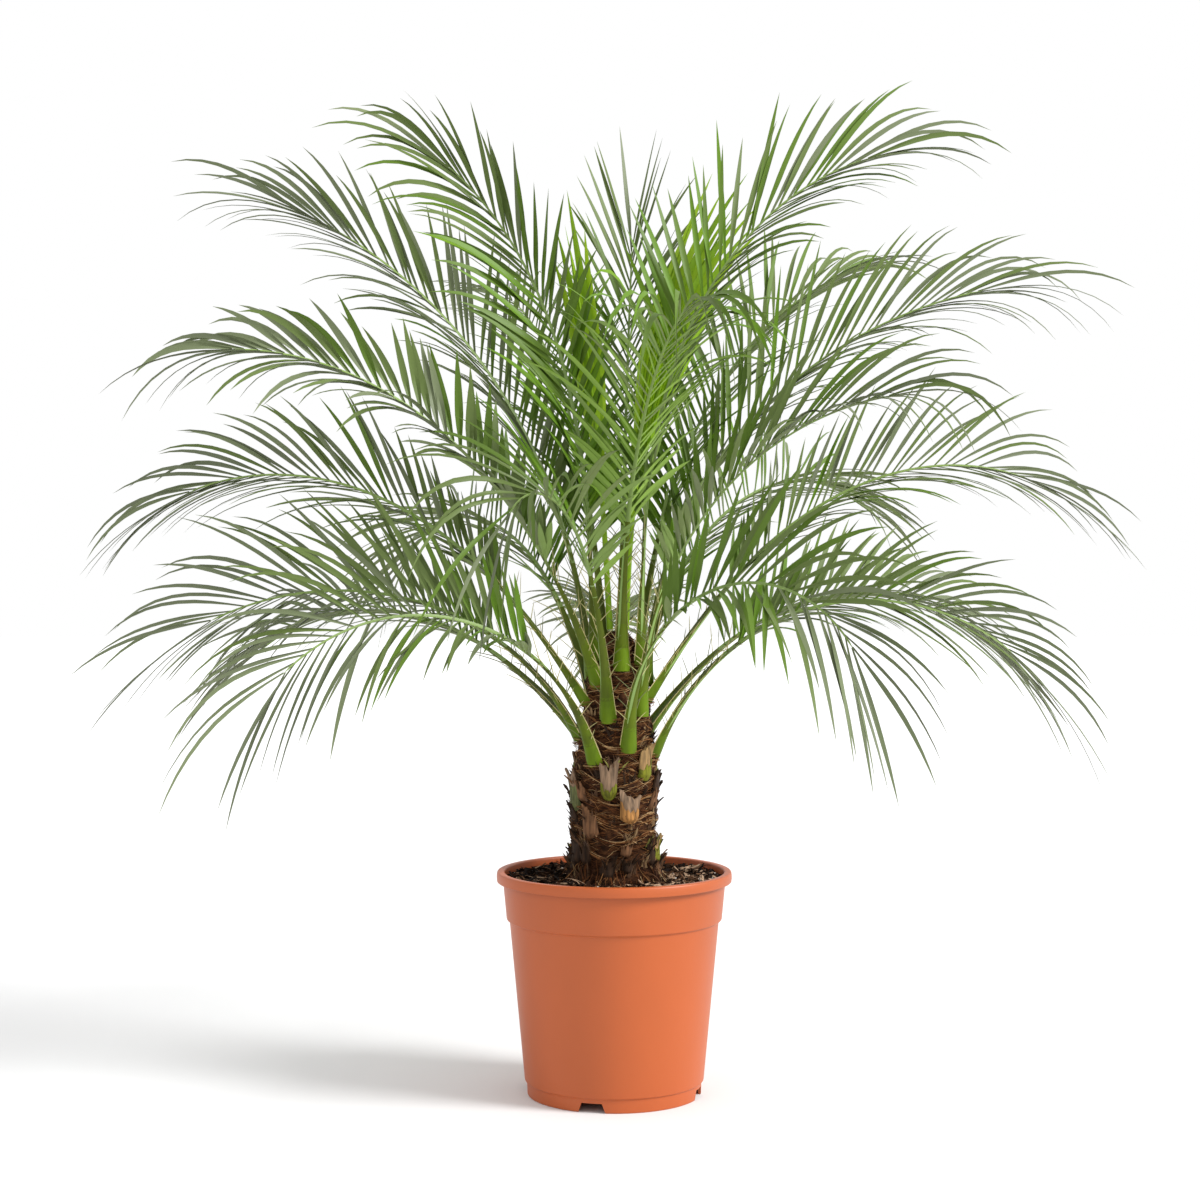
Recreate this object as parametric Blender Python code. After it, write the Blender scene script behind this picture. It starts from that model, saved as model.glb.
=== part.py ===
"""A pygmy date palm in a terracotta-coloured plastic nursery pot.

Metres, +Z up. The pot stands on z = 0 round the Z axis, and the front is towards -Y.
"""

import math
from collections import namedtuple

import bmesh
import bpy
from mathutils import Matrix, Vector
from mathutils.bvhtree import BVHTree

CLEARANCE = 0.0003

# The pot, 21 cm across the rim
POT_HEIGHT = 0.1995
POT_SIDES = 48
RIM_RADIUS = 0.105
RIM_ROUNDING = 0.0010
LIP_HEIGHT = 0.009
COLLAR_RADIUS = 0.0998
COLLAR_FOOT_RADIUS = 0.0960
COLLAR_FOOT_Z = 0.1567
SHOULDER_STEP = 0.0026
BODY_FOOT_RADIUS = 0.0800
BASE_RADIUS = 0.0776
BASE_BAND_Z = 0.0130
WALL = 0.0018
FOOT_RING_WIDTH = 0.0024
FLOOR_RAISE = 0.0085
FLOOR_THICKNESS = 0.0025
CENTRE_FOOT_RADIUS = 0.0225
SMALL_DRAFT = 0.0005
STEP_DROP = 0.0010
NOTCH_COUNT = 4
NOTCH_TURN = -105
NOTCH_FOOT_WIDTH = 0.0245
NOTCH_TOP_WIDTH = 0.0184
NOTCH_HEIGHT = 0.0085
NOTCH_DEPTH = 0.010
NOTCH_BELOW = -0.002

# The soil fills the pot to just under the rim
SOIL_TOP = 0.1880

# The trunk: (height, radius) from the flared foot to the blunt top
TRUNK_FOOT = SOIL_TOP + CLEARANCE
TRUNK_TOP = 0.415
TRUNK_LEAN = 0.003
LEAN_LATE = 1.5
TRUNK_SIDES = 20
TRUNK_PROFILE = (
    (TRUNK_FOOT, 0.0430),
    (0.2000, 0.0395),
    (0.2200, 0.0380),
    (0.2500, 0.0372),
    (0.2800, 0.0362),
    (0.3060, 0.0342),
    (0.3300, 0.0315),
    (0.3650, 0.0265),
    (0.3900, 0.0215),
    (0.4050, 0.0155),
    (TRUNK_TOP, 0.0070),
)

# Cut leaf bases on the trunk: turn in degrees, foot height, width, height, outward lean in degrees
LeafBase = namedtuple("LeafBase", "turn z width height lean")
LEAF_BASES = (
    LeafBase(-99, 0.266, 0.015, 0.034, 5),
    LeafBase(-43, 0.282, 0.014, 0.030, 7),
    LeafBase(-70, 0.246, 0.017, 0.026, 6),
    LeafBase(-125, 0.232, 0.016, 0.025, 6),
    LeafBase(-160, 0.254, 0.015, 0.036, 9),
    LeafBase(-18, 0.208, 0.013, 0.022, 6),
    LeafBase(-12, 0.266, 0.012, 0.024, 8),
    LeafBase(24, 0.272, 0.015, 0.032, 6),
    LeafBase(52, 0.238, 0.016, 0.028, 7),
    LeafBase(88, 0.264, 0.015, 0.034, 5),
    LeafBase(122, 0.234, 0.016, 0.026, 7),
    LeafBase(158, 0.276, 0.014, 0.030, 6),
    LeafBase(-150, 0.208, 0.014, 0.022, 5),
)
LEAF_BASE_THICKNESS = 0.0045
LEAF_BASE_RINGS = (0.0, 0.3, 0.65, 1.0)
LEAF_BASE_NARROWING = 0.25
LEAF_BASE_THINNING = 0.20
LEAF_BASE_SLANT = 0.35

# Half its outline, across the width and out from the trunk
LEAF_BASE_SHOULDER = (0.80, 0.75)

# The fronds. foot_turn and foot_z place the foot on the trunk and turn is where the rib heads, in
# degrees from +X. The rib leaves at the angle rise, and loses the angle fall by its tip, later along
# it as late grows. roll turns the blade about the rib.
Frond = namedtuple("Frond", "foot_turn foot_z turn length rise fall late roll")
FRONDS = (
    # Left side, from the top down
    Frond(-150, 0.392, 185, 0.463, 88, 48, 2.15, -95),
    Frond(150, 0.375, 170, 0.522, 83, 59, 1.23, -45),
    Frond(-132, 0.370, 195, 0.459, 65, 68, 1.75, -45),
    Frond(-165, 0.354, 168, 0.447, 57, 80, 1.55, -52),
    Frond(180, 0.322, 190, 0.375, 64, 91, 0.93, -52),
    Frond(-123, 0.302, 212, 0.370, 65, 108, 1.14, -60),
    # Front, arching towards the viewer
    Frond(-104, 0.340, 238, 0.290, 77, 134, 3.0, -15),
    Frond(-80, 0.385, -76, 0.379, 90, 74, 1.13, 0),
    # Right side, from the top down
    Frond(-30, 0.388, 8, 0.531, 90, 75, 1.9, 48),
    Frond(10, 0.370, 0, 0.494, 90, 79, 0.91, 45),
    Frond(-45, 0.345, -35, 0.397, 88, 82, 0.98, 30),
    Frond(-5, 0.357, 8, 0.436, 57, 81, 1.73, 48),
    Frond(-8, 0.308, -12, 0.379, 66, 108, 1.11, 52),
    Frond(-71, 0.314, -42, 0.345, 81, 137, 1.2, 58),
    # Back, filling the crown all round
    Frond(80, 0.390, 80, 0.38, 87, 12, 1.0, 0),
    Frond(112, 0.372, 112, 0.46, 82, 62, 1.3, -15),
    Frond(42, 0.378, 38, 0.46, 83, 62, 1.3, 15),
    Frond(130, 0.345, 125, 0.42, 68, 112, 1.3, -20),
    Frond(55, 0.350, 50, 0.45, 68, 92, 1.2, 25),
    Frond(158, 0.318, 150, 0.40, 48, 84, 1.2, -30),
    Frond(28, 0.325, 28, 0.41, 50, 86, 1.2, 30),
    Frond(92, 0.322, 90, 0.40, 46, 86, 1.2, 0),
)
RIB_STEPS = 60
AIM_BY = 0.35
STALK_LENGTH = 0.12
STALK_RINGS = (0.0, 0.012, 0.035, 0.070, 0.105)
RIB_FOOT_WIDTH = 0.0150
RIB_STALK_WIDTH = 0.0075
RIB_TIP_WIDTH = 0.0022
RIB_FOOT_NARROWING = 0.030
RIB_DEPTH_SHARE = 0.55
RIB_LEAST_DEPTH = 0.0018
RIB_FACE_SHARE = 0.4
ROLL_BY = 0.5

# The leaflets, two ranks on each rib
LEAFLET_LENGTH = 0.118
LEAFLET_SPACING = 0.022
LEAFLET_WIDTH = 0.0095
LEAFLET_THICKNESS = 0.0014
LEAFLET_ROOT = 0.0060
LEAFLET_MIDDLE = 0.42
LEAFLET_STEPS = 6
SAG_AT_STALK = 0.55
SAG_AT_TIP = 1.05
ANGLE_AT_STALK = 60
ANGLE_AT_TIP = 18
ANGLE_LATE = 2.0
LIFT_AT_STALK = 36
LIFT_AT_TIP = 22
LEAFLET_TILT = 22
SHORT_LEAFLETS_UNTIL = 0.30
SHORTEST_LEAFLET = 0.50
LEAFLET_GAP = 0.0006
ROOT_CLEAR = 0.10

# Other angles and lengths that a leaflet tries where another leaf is in its way
TRIES = tuple(
    (swing, lift, share)
    for share in (1.0, 0.85, 0.7, 0.5)
    for swing, lift in ((0, 0), (7, 0), (-7, 0), (0, 12), (0, -12), (10, 14), (-10, -14), (0, 26))
)

# Young leaves still folded: turn, length, rise, fall, width of the folded blade
Spear = namedtuple("Spear", "turn length rise fall width")
SPEARS = (
    Spear(12, 0.40, 88, 34, 0.022),
    Spear(200, 0.36, 87, 10, 0.016),
)
SPEAR_FOOT_OFFSET = 0.0075
SPEAR_SIDES = 6
SPEAR_RINGS = 9
SPEAR_STALK_WIDTH = 0.0064
SPEAR_STALK_SHARE = 0.18
SPEAR_THICKNESS_SHARE = 0.5
SPEAR_STALK_THICKNESS = 0.0056
SPEAR_LATE = 1.6
SPEAR_POINT_TAPER = 0.6
SPEAR_POINT_LATE = 6

# Colour (linear RGB), roughness
POT_FINISH = ((0.58, 0.14, 0.047), 0.45)
SOIL_FINISH = ((0.020, 0.012, 0.008), 0.95)
TRUNK_FINISH = ((0.090, 0.042, 0.022), 0.90)
LEAF_BASE_FINISH = ((0.26, 0.22, 0.080), 0.75)
FROND_FINISH = ((0.080, 0.150, 0.025), 0.45)
SPEAR_FINISH = ((0.200, 0.330, 0.030), 0.45)


def clear_scene():
    for old in list(bpy.data.objects):
        bpy.data.objects.remove(old, do_unlink=True)


def material(name, finish):
    colour, roughness = finish
    made = bpy.data.materials.get(name) or bpy.data.materials.new(name)
    made.use_nodes = True
    shader = made.node_tree.nodes["Principled BSDF"]
    shader.inputs["Base Color"].default_value = (*colour, 1.0)
    shader.inputs["Roughness"].default_value = roughness
    shader.inputs["Metallic"].default_value = 0.0
    return made


def object_from(name, work, finish, smooth_angle=None):
    """A scene object with its own material from a bmesh, which is used up."""
    mesh = bpy.data.meshes.new(name)
    work.to_mesh(mesh)
    work.free()
    if smooth_angle is not None:
        mesh.shade_smooth()
        mesh.set_sharp_from_angle(angle=math.radians(smooth_angle))
    made = bpy.data.objects.new(name, mesh)
    bpy.context.scene.collection.objects.link(made)
    mesh.materials.append(material(name, finish))
    return made


def lathe(name, profile, sides, finish):
    """A closed solid turned round the Z axis from (radius, height) points, bottom centre to top centre."""
    work = bmesh.new()
    rings = []
    for radius, z in profile:
        if radius == 0:
            rings.append([work.verts.new((0, 0, z))])
            continue
        angles = [math.tau * i / sides for i in range(sides)]
        rings.append([work.verts.new((radius * math.cos(a), radius * math.sin(a), z)) for a in angles])
    for lower, upper in zip(rings, rings[1:]):
        for i in range(sides):
            j = (i + 1) % sides
            if len(lower) == 1:
                work.faces.new((lower[0], upper[j], upper[i]))
            elif len(upper) == 1:
                work.faces.new((lower[i], lower[j], upper[0]))
            else:
                work.faces.new((lower[i], lower[j], upper[j], upper[i]))
    return object_from(name, work, finish, smooth_angle=35)


def skin(work, rings):
    """Quads between rings of the same number of vertices, and a face on each end."""
    for lower, upper in zip(rings, rings[1:]):
        count = len(lower)
        for i in range(count):
            j = (i + 1) % count
            work.faces.new((lower[i], lower[j], upper[j], upper[i]))
    work.faces.new(list(reversed(rings[0])))
    work.faces.new(rings[-1])
    bmesh.ops.recalc_face_normals(work, faces=work.faces)


def mix(a, b, share):
    return a + (b - a) * share


def ease(share):
    share = min(1.0, max(0.0, share))
    return share * share * (3 - 2 * share)


# The pot and its soil


def pot_outer_profile():
    lip_foot = POT_HEIGHT - LIP_HEIGHT
    brim_under = POT_HEIGHT - WALL
    return [
        (0, 0),
        (CENTRE_FOOT_RADIUS, 0),
        (CENTRE_FOOT_RADIUS + SMALL_DRAFT, FLOOR_RAISE),
        (BASE_RADIUS - FOOT_RING_WIDTH, FLOOR_RAISE),
        (BASE_RADIUS - FOOT_RING_WIDTH, 0),
        (BASE_RADIUS, 0),
        (BASE_RADIUS + SMALL_DRAFT, BASE_BAND_Z - STEP_DROP),
        (BODY_FOOT_RADIUS, BASE_BAND_Z),
        (COLLAR_FOOT_RADIUS - SHOULDER_STEP, COLLAR_FOOT_Z - STEP_DROP),
        (COLLAR_FOOT_RADIUS, COLLAR_FOOT_Z),
        (COLLAR_RADIUS, brim_under),
        (RIM_RADIUS - WALL, brim_under),
        (RIM_RADIUS - WALL, lip_foot),
        (RIM_RADIUS, lip_foot),
        (RIM_RADIUS, POT_HEIGHT - RIM_ROUNDING),
        (RIM_RADIUS - RIM_ROUNDING, POT_HEIGHT),
    ]


def pot_inner_profile(inset):
    """The pot's inside from the brim down to the floor, moved inwards by inset."""
    wall = WALL + inset
    floor = FLOOR_RAISE + FLOOR_THICKNESS + inset
    return [
        (COLLAR_RADIUS - wall, POT_HEIGHT - WALL),
        (COLLAR_FOOT_RADIUS - wall, COLLAR_FOOT_Z),
        (COLLAR_FOOT_RADIUS - SHOULDER_STEP - wall, COLLAR_FOOT_Z - STEP_DROP),
        (BODY_FOOT_RADIUS - wall, floor),
        (0, floor),
    ]


def notch_cutter(index):
    """A wedge-sided block that cuts one drainage notch through the foot ring."""
    work = bmesh.new()
    inner = BASE_RADIUS - NOTCH_DEPTH
    outer = BASE_RADIUS + NOTCH_DEPTH
    slope = (NOTCH_FOOT_WIDTH - NOTCH_TOP_WIDTH) / (2 * NOTCH_HEIGHT)
    foot = NOTCH_FOOT_WIDTH / 2 - slope * NOTCH_BELOW
    top = NOTCH_TOP_WIDTH / 2
    section = ((-foot, NOTCH_BELOW), (foot, NOTCH_BELOW), (top, NOTCH_HEIGHT), (-top, NOTCH_HEIGHT))
    rings = []
    for radius in (inner, outer):
        rings.append([work.verts.new((radius, y, z)) for y, z in section])
    skin(work, rings)
    made = object_from(f"notch_cutter_{index}", work, POT_FINISH)
    made.rotation_euler.z = math.radians(NOTCH_TURN + index * 360 / NOTCH_COUNT)
    made.hide_render = True
    made.display_type = "WIRE"
    return made


def make_pot():
    brim_top = [(COLLAR_RADIUS - WALL, POT_HEIGHT)]
    pot = lathe("pot", pot_outer_profile() + brim_top + pot_inner_profile(0), POT_SIDES, POT_FINISH)
    for index in range(NOTCH_COUNT):
        cut = pot.modifiers.new(f"notch_{index}", "BOOLEAN")
        cut.operation = "DIFFERENCE"
        cut.object = notch_cutter(index)
    return pot


def make_soil():
    inside = pot_inner_profile(CLEARANCE)
    wall_foot, wall_top = inside[1], inside[0]
    share = (SOIL_TOP - wall_foot[1]) / (wall_top[1] - wall_foot[1])
    edge = (mix(wall_foot[0], wall_top[0], share), SOIL_TOP)
    profile = list(reversed(inside[1:])) + [edge, (0, SOIL_TOP)]
    return lathe("soil", profile, POT_SIDES, SOIL_FINISH)


# The trunk and the cut leaf bases on it


def trunk_radius(z):
    for (z0, r0), (z1, r1) in zip(TRUNK_PROFILE, TRUNK_PROFILE[1:]):
        if z <= z1:
            return mix(r0, r1, max(0.0, z - z0) / (z1 - z0))
    return TRUNK_PROFILE[-1][1]


def trunk_axis(z):
    share = max(0.0, (z - TRUNK_FOOT) / (TRUNK_TOP - TRUNK_FOOT))
    return Vector((TRUNK_LEAN * share ** LEAN_LATE, 0, z))


def trunk_reach(z, turn):
    """How far the many-sided trunk reaches from its axis at a height, towards a turn in degrees."""
    side = 360 / TRUNK_SIDES
    off_corner = (turn + side / 2) % side - side / 2
    return trunk_radius(z) * math.cos(math.radians(off_corner))


def make_trunk():
    work = bmesh.new()
    rings = []
    for z, radius in TRUNK_PROFILE:
        centre = trunk_axis(z)
        angles = [math.tau * i / TRUNK_SIDES for i in range(TRUNK_SIDES)]
        rings.append([
            work.verts.new(centre + Vector((radius * math.cos(a), radius * math.sin(a), 0))) for a in angles
        ])
    skin(work, rings)
    return object_from("trunk", work, TRUNK_FINISH, smooth_angle=50)


def make_leaf_base(index, base):
    """A stub of a cut leaf: flat against the trunk, leaning out, with a slanting cut on top."""
    turn = math.radians(base.turn)
    out = Vector((math.cos(turn), math.sin(turn), 0))
    across = Vector((-math.sin(turn), math.cos(turn), 0))
    lean = math.tan(math.radians(base.lean))
    shoulder_x, shoulder_y = LEAF_BASE_SHOULDER
    work = bmesh.new()
    rings = []
    for share in LEAF_BASE_RINGS:
        z = base.z + base.height * share
        inner = trunk_reach(z, base.turn) + CLEARANCE + base.height * share ** 2 * lean
        half = base.width / 2 * (1 - LEAF_BASE_NARROWING * share)
        depth = LEAF_BASE_THICKNESS * (1 - LEAF_BASE_THINNING * share)
        shoulder = (shoulder_x * half, shoulder_y * depth)
        section = ((-half, 0), (half, 0), shoulder, (0, depth), (-shoulder[0], shoulder[1]))
        drop = Vector((0, 0, -LEAF_BASE_SLANT * share))
        centre = trunk_axis(z)
        places = [centre + across * x + out * (inner + y) + drop * y for x, y in section]
        rings.append([work.verts.new(place) for place in places])
    skin(work, rings)
    return object_from(f"leaf_base_{index:02d}", work, LEAF_BASE_FINISH)


# The fronds


class Rib:
    """The course of one frond's rib: points, headings and blade normals at even steps from its foot."""

    def __init__(self, foot, foot_turn, turn, length, rise, fall, late, roll):
        self.length = length
        self.points = [foot]
        self.headings = []
        self.normals = []
        swing = (turn - foot_turn + 180) % 360 - 180
        for i in range(RIB_STEPS + 1):
            share = i / RIB_STEPS
            up = math.radians(rise - fall * share ** late)
            around = math.radians(foot_turn + swing * ease(share / AIM_BY))
            flat = Vector((math.cos(around), math.sin(around), 0))
            heading = flat * math.cos(up) + Vector((0, 0, math.sin(up)))
            normal = Vector((0, 0, math.cos(up))) - flat * math.sin(up)
            spin = Matrix.Rotation(math.radians(roll) * ease(share / ROLL_BY), 3, heading)
            self.headings.append(heading)
            self.normals.append(spin @ normal)
            self.points.append(self.points[-1] + heading * (length / RIB_STEPS))

    def at(self, distance):
        """Point, heading, blade normal and rightward direction at a distance from the foot."""
        place = min(max(distance / self.length, 0.0), 1.0) * RIB_STEPS
        i = min(int(place), RIB_STEPS - 1)
        share = place - i
        point = self.points[i].lerp(self.points[i + 1], share)
        heading = self.headings[i].lerp(self.headings[i + 1], share).normalized()
        normal = self.normals[i].lerp(self.normals[i + 1], share)
        normal = (normal - heading * normal.dot(heading)).normalized()
        return point, heading, normal, heading.cross(normal)


def rib_width(rib, distance):
    if distance < RIB_FOOT_NARROWING:
        return mix(RIB_FOOT_WIDTH, RIB_STALK_WIDTH, ease(distance / RIB_FOOT_NARROWING))
    share = (distance - RIB_FOOT_NARROWING) / (rib.length - RIB_FOOT_NARROWING)
    return mix(RIB_STALK_WIDTH, RIB_TIP_WIDTH, share)


def rib_section(rib, distance):
    """The rib's three corners: left and right of its flat face, and the keel under it."""
    point, _, normal, right = rib.at(distance)
    half = rib_width(rib, distance) / 2
    depth = max(2 * half * RIB_DEPTH_SHARE, RIB_LEAST_DEPTH)
    face = point + normal * RIB_FACE_SHARE * depth
    return [face - right * half, face + right * half, face - normal * depth]


def frond_rib(frond):
    """The rib of one frond, whose foot's upper edge lies just clear of the trunk."""
    turn, rise = math.radians(frond.foot_turn), math.radians(frond.rise)
    out = Vector((math.cos(turn), math.sin(turn), 0))
    face = RIB_FACE_SHARE * RIB_FOOT_WIDTH * RIB_DEPTH_SHARE
    reach = trunk_reach(frond.foot_z + face * math.cos(rise), frond.foot_turn)
    foot = trunk_axis(frond.foot_z) + out * (reach + CLEARANCE + face * math.sin(rise))
    course = (frond.foot_turn, frond.turn, frond.length, frond.rise, frond.fall, frond.late, frond.roll)
    return Rib(foot, *course)


def leaflet_places(rib):
    """(distance along the rib, share of the leafy part) for each pair of leaflets."""
    leafy = rib.length - STALK_LENGTH
    count = max(2, round(leafy / LEAFLET_SPACING))
    last = rib.length - LEAFLET_ROOT
    first = STALK_LENGTH + LEAFLET_SPACING / 2
    return [(mix(first, last, i / (count - 1)), i / (count - 1)) for i in range(count)]


def leaflet_length(share):
    short = mix(SHORTEST_LEAFLET, 1.0, ease(share / SHORT_LEAFLETS_UNTIL))
    return LEAFLET_LENGTH * short


def leaflet_start(rib, distance, share, side, swing, lift):
    """Root point, first direction and the direction across the blade of one leaflet."""
    point, heading, normal, right = rib.at(distance)
    away = math.radians(mix(ANGLE_AT_STALK, ANGLE_AT_TIP, share ** ANGLE_LATE) + swing)
    raised = math.radians(mix(LIFT_AT_STALK, LIFT_AT_TIP, share) + lift)
    outward = right * side * math.cos(raised) + normal * math.sin(raised)
    direction = heading * math.cos(away) + outward * math.sin(away)
    across = (heading - direction * heading.dot(direction)).normalized()
    tilt = Matrix.Rotation(-side * math.radians(LEAFLET_TILT), 3, direction)
    root = point + right * side * rib_width(rib, distance) / 2
    return root, direction, tilt @ across


def leaflet_point(root, direction, length, sag, share):
    """A point on the leaflet's middle line, which sags more and more towards its tip."""
    point = root.copy()
    for i in range(LEAFLET_STEPS):
        along = share * (i + 0.5) / LEAFLET_STEPS
        heading = (direction + Vector((0, 0, -sag * along ** 2))).normalized()
        point += heading * (length * share / LEAFLET_STEPS)
    return point


def blade_ring(centre, direction, across, side, half_width, half_thickness):
    """Back-top, front-top, front-bottom and back-bottom corners of a leaflet's thin section."""
    w = across * half_width
    t = direction.cross(across) * side * half_thickness
    return [centre - w + t, centre + w + t, centre + w - t, centre - w - t]


def leaflet_root(rib, distance, side):
    """The four corners on the rib's side that a leaflet grows from."""
    corner = 0 if side < 0 else 1
    back = rib_section(rib, distance - LEAFLET_ROOT / 2)
    front = rib_section(rib, distance + LEAFLET_ROOT / 2)
    return [back[corner], front[corner], front[2], back[2]]


def leaflet_shape(rib, distance, share, side, swing, lift, scale, gap=0.0):
    """The start, middle section and tip of a leaflet, wider on every side by the gap."""
    root, direction, across = leaflet_start(rib, distance, share, side, swing, lift)
    length = leaflet_length(share) * scale
    sag = mix(SAG_AT_STALK, SAG_AT_TIP, share) * direction.xy.length
    start = leaflet_point(root, direction, length, sag, ROOT_CLEAR)
    middle = leaflet_point(root, direction, length, sag, LEAFLET_MIDDLE)
    tip = leaflet_point(root, direction, length, sag, 1.0)
    half_width = LEAFLET_WIDTH / 2 * math.sqrt(length / LEAFLET_LENGTH) + gap
    half_thickness = LEAFLET_THICKNESS / 2 + gap
    first = blade_ring(start, direction, across, side, LEAFLET_ROOT / 2 + gap, half_thickness)
    ring = blade_ring(middle, direction, across, side, half_width, half_thickness)
    return first, ring, tip + (tip - middle).normalized() * 2 * gap


def widened(corners, gap):
    centre = sum(corners, Vector()) / len(corners)
    return [corner + (corner - centre).normalized() * 1.5 * gap for corner in corners]


SHELL_FACES = [(3, 2, 1, 0)]
SHELL_FACES += [(i, (i + 1) % 4, (i + 1) % 4 + 4, i + 4) for i in range(4)]
SHELL_FACES += [(i + 4, (i + 1) % 4 + 4, 8) for i in range(4)]


def tree_of(shells):
    """A search tree over several closed shells, each a list of points and a list of faces."""
    points, faces = [], []
    for shell_points, shell_faces in shells:
        start = len(points)
        points += shell_points
        faces += [tuple(start + i for i in face) for face in shell_faces]
    return BVHTree.FromPolygons(points, faces)


def rib_shell(rib):
    count = RIB_STEPS // 2
    points = []
    for i in range(count + 1):
        points += rib_section(rib, rib.length * i / count)
    faces = []
    for i in range(count):
        for j in range(3):
            k = (j + 1) % 3
            faces.append((3 * i + j, 3 * i + k, 3 * i + 3 + k, 3 * i + 3 + j))
    return points, faces


def object_tree(made):
    graph = bpy.context.evaluated_depsgraph_get()
    return BVHTree.FromObject(made, graph)


def grow_leaflets(rib, others):
    """Finds room for each leaflet: {(pair index, side): (middle section, tip)}, and their shells."""
    grown = {}
    whole = []
    free = [rib_shell(rib)]
    places = leaflet_places(rib)
    for index, (distance, share) in reversed(list(enumerate(places))):
        for side in (-1, 1):
            root = widened(leaflet_root(rib, distance, side), LEAFLET_GAP)
            own_tree = tree_of(free)
            for swing, lift, scale in TRIES:
                shape = (rib, distance, share, side, swing, lift, scale)
                first, ring, tip = leaflet_shape(*shape, gap=LEAFLET_GAP)
                free_shell = (first + ring + [tip], SHELL_FACES)
                whole_shell = (root + ring + [tip], SHELL_FACES)
                if tree_of([free_shell]).overlap(own_tree):
                    continue
                tree = tree_of([free_shell, whole_shell])
                if any(tree.overlap(other) for other in others):
                    continue
                grown[index, side] = leaflet_shape(*shape)[1:]
                free.append(free_shell)
                whole.append(whole_shell)
                break
    return grown, whole


def make_frond(index, rib, grown):
    """One closed blade: a three-sided rib whose sides grow out into the leaflets."""
    work = bmesh.new()
    places = leaflet_places(rib)
    stations = list(STALK_RINGS)
    for distance, _ in places:
        stations += [distance - LEAFLET_ROOT / 2, distance + LEAFLET_ROOT / 2]
    rings = [[work.verts.new(corner) for corner in rib_section(rib, distance)] for distance in stations]
    for i, (back, front) in enumerate(zip(rings, rings[1:])):
        work.faces.new((back[0], back[1], front[1], front[0]))
        pair, between = divmod(i - len(STALK_RINGS), 2)
        for side, corner in ((-1, 0), (1, 1)):
            root = [back[corner], front[corner], front[2], back[2]]
            blade = None if between or pair < 0 else grown.get((pair, side))
            if blade is None:
                work.faces.new(root[::-side])
                continue
            ring = [work.verts.new(point) for point in blade[0]]
            tip = work.verts.new(blade[1])
            for j in range(4):
                k = (j + 1) % 4
                work.faces.new((root[j], root[k], ring[k], ring[j])[::-side])
                work.faces.new((ring[j], ring[k], tip)[::-side])
    work.faces.new(rings[0][::-1])
    work.faces.new(rings[-1])
    bmesh.ops.triangulate(work, faces=work.faces)
    return object_from(f"frond_{index:02d}", work, FROND_FINISH)


def spear_rib(spear):
    out = Vector((math.cos(math.radians(spear.turn)), math.sin(math.radians(spear.turn)), 0))
    foot = trunk_axis(TRUNK_TOP) + out * SPEAR_FOOT_OFFSET + Vector((0, 0, CLEARANCE))
    return Rib(foot, spear.turn, spear.turn, spear.length, spear.rise, spear.fall, SPEAR_LATE, 0)


def spear_rings(spear, rib):
    """Sections of a folded leaf: a slim stalk that widens, and narrows again to a blunt point."""
    sections = []
    for i in range(SPEAR_RINGS):
        share = i / (SPEAR_RINGS - 1)
        point, _, normal, right = rib.at(share * rib.length)
        blade = max(0.0, share - SPEAR_STALK_SHARE) / (1 - SPEAR_STALK_SHARE)
        swell = math.sin(math.pi * blade)
        point_taper = 1 - SPEAR_POINT_TAPER * share ** SPEAR_POINT_LATE
        width = mix(SPEAR_STALK_WIDTH, spear.width, swell) * point_taper
        thick = mix(SPEAR_STALK_THICKNESS, spear.width * SPEAR_THICKNESS_SHARE, swell) * point_taper
        angles = [math.tau * j / SPEAR_SIDES for j in range(SPEAR_SIDES)]
        offsets = [right * width * math.cos(a) + normal * thick * math.sin(a) for a in angles]
        sections.append([point + offset / 2 for offset in offsets])
    return sections


def make_spear(index, spear, rib):
    work = bmesh.new()
    rings = [[work.verts.new(point) for point in section] for section in spear_rings(spear, rib)]
    skin(work, rings)
    return object_from(f"spear_{index}", work, SPEAR_FINISH, smooth_angle=60)


def make_crown(trunk_parts):
    ribs = [frond_rib(frond) for frond in FRONDS]
    spears = []
    for index, spear in enumerate(SPEARS, 1):
        spears.append(make_spear(index, spear, spear_rib(spear)))
    bpy.context.view_layer.update()
    fixed = [object_tree(made) for made in trunk_parts + spears]
    rib_trees = [tree_of([rib_shell(rib)]) for rib in ribs]
    blade_trees = []
    for index, rib in enumerate(ribs):
        others = fixed + rib_trees[:index] + rib_trees[index + 1:] + blade_trees
        grown, shells = grow_leaflets(rib, others)
        if shells:
            blade_trees.append(tree_of(shells))
        make_frond(index + 1, rib, grown)


def main():
    clear_scene()
    pot = make_pot()
    soil = make_soil()
    trunk = make_trunk()
    bases = [make_leaf_base(index, base) for index, base in enumerate(LEAF_BASES, 1)]
    make_crown([pot, soil, trunk] + bases)


main()
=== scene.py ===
"""The looks of a pygmy date palm in a terracotta-coloured plastic nursery pot, built round its frame.

Metres, +Z up. The pot stands on z = 0 round the Z axis, and the front is towards -Y.
"""

import math
import random
from collections import namedtuple

import bmesh
import bpy
from mathutils import Matrix, Vector, noise


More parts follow.
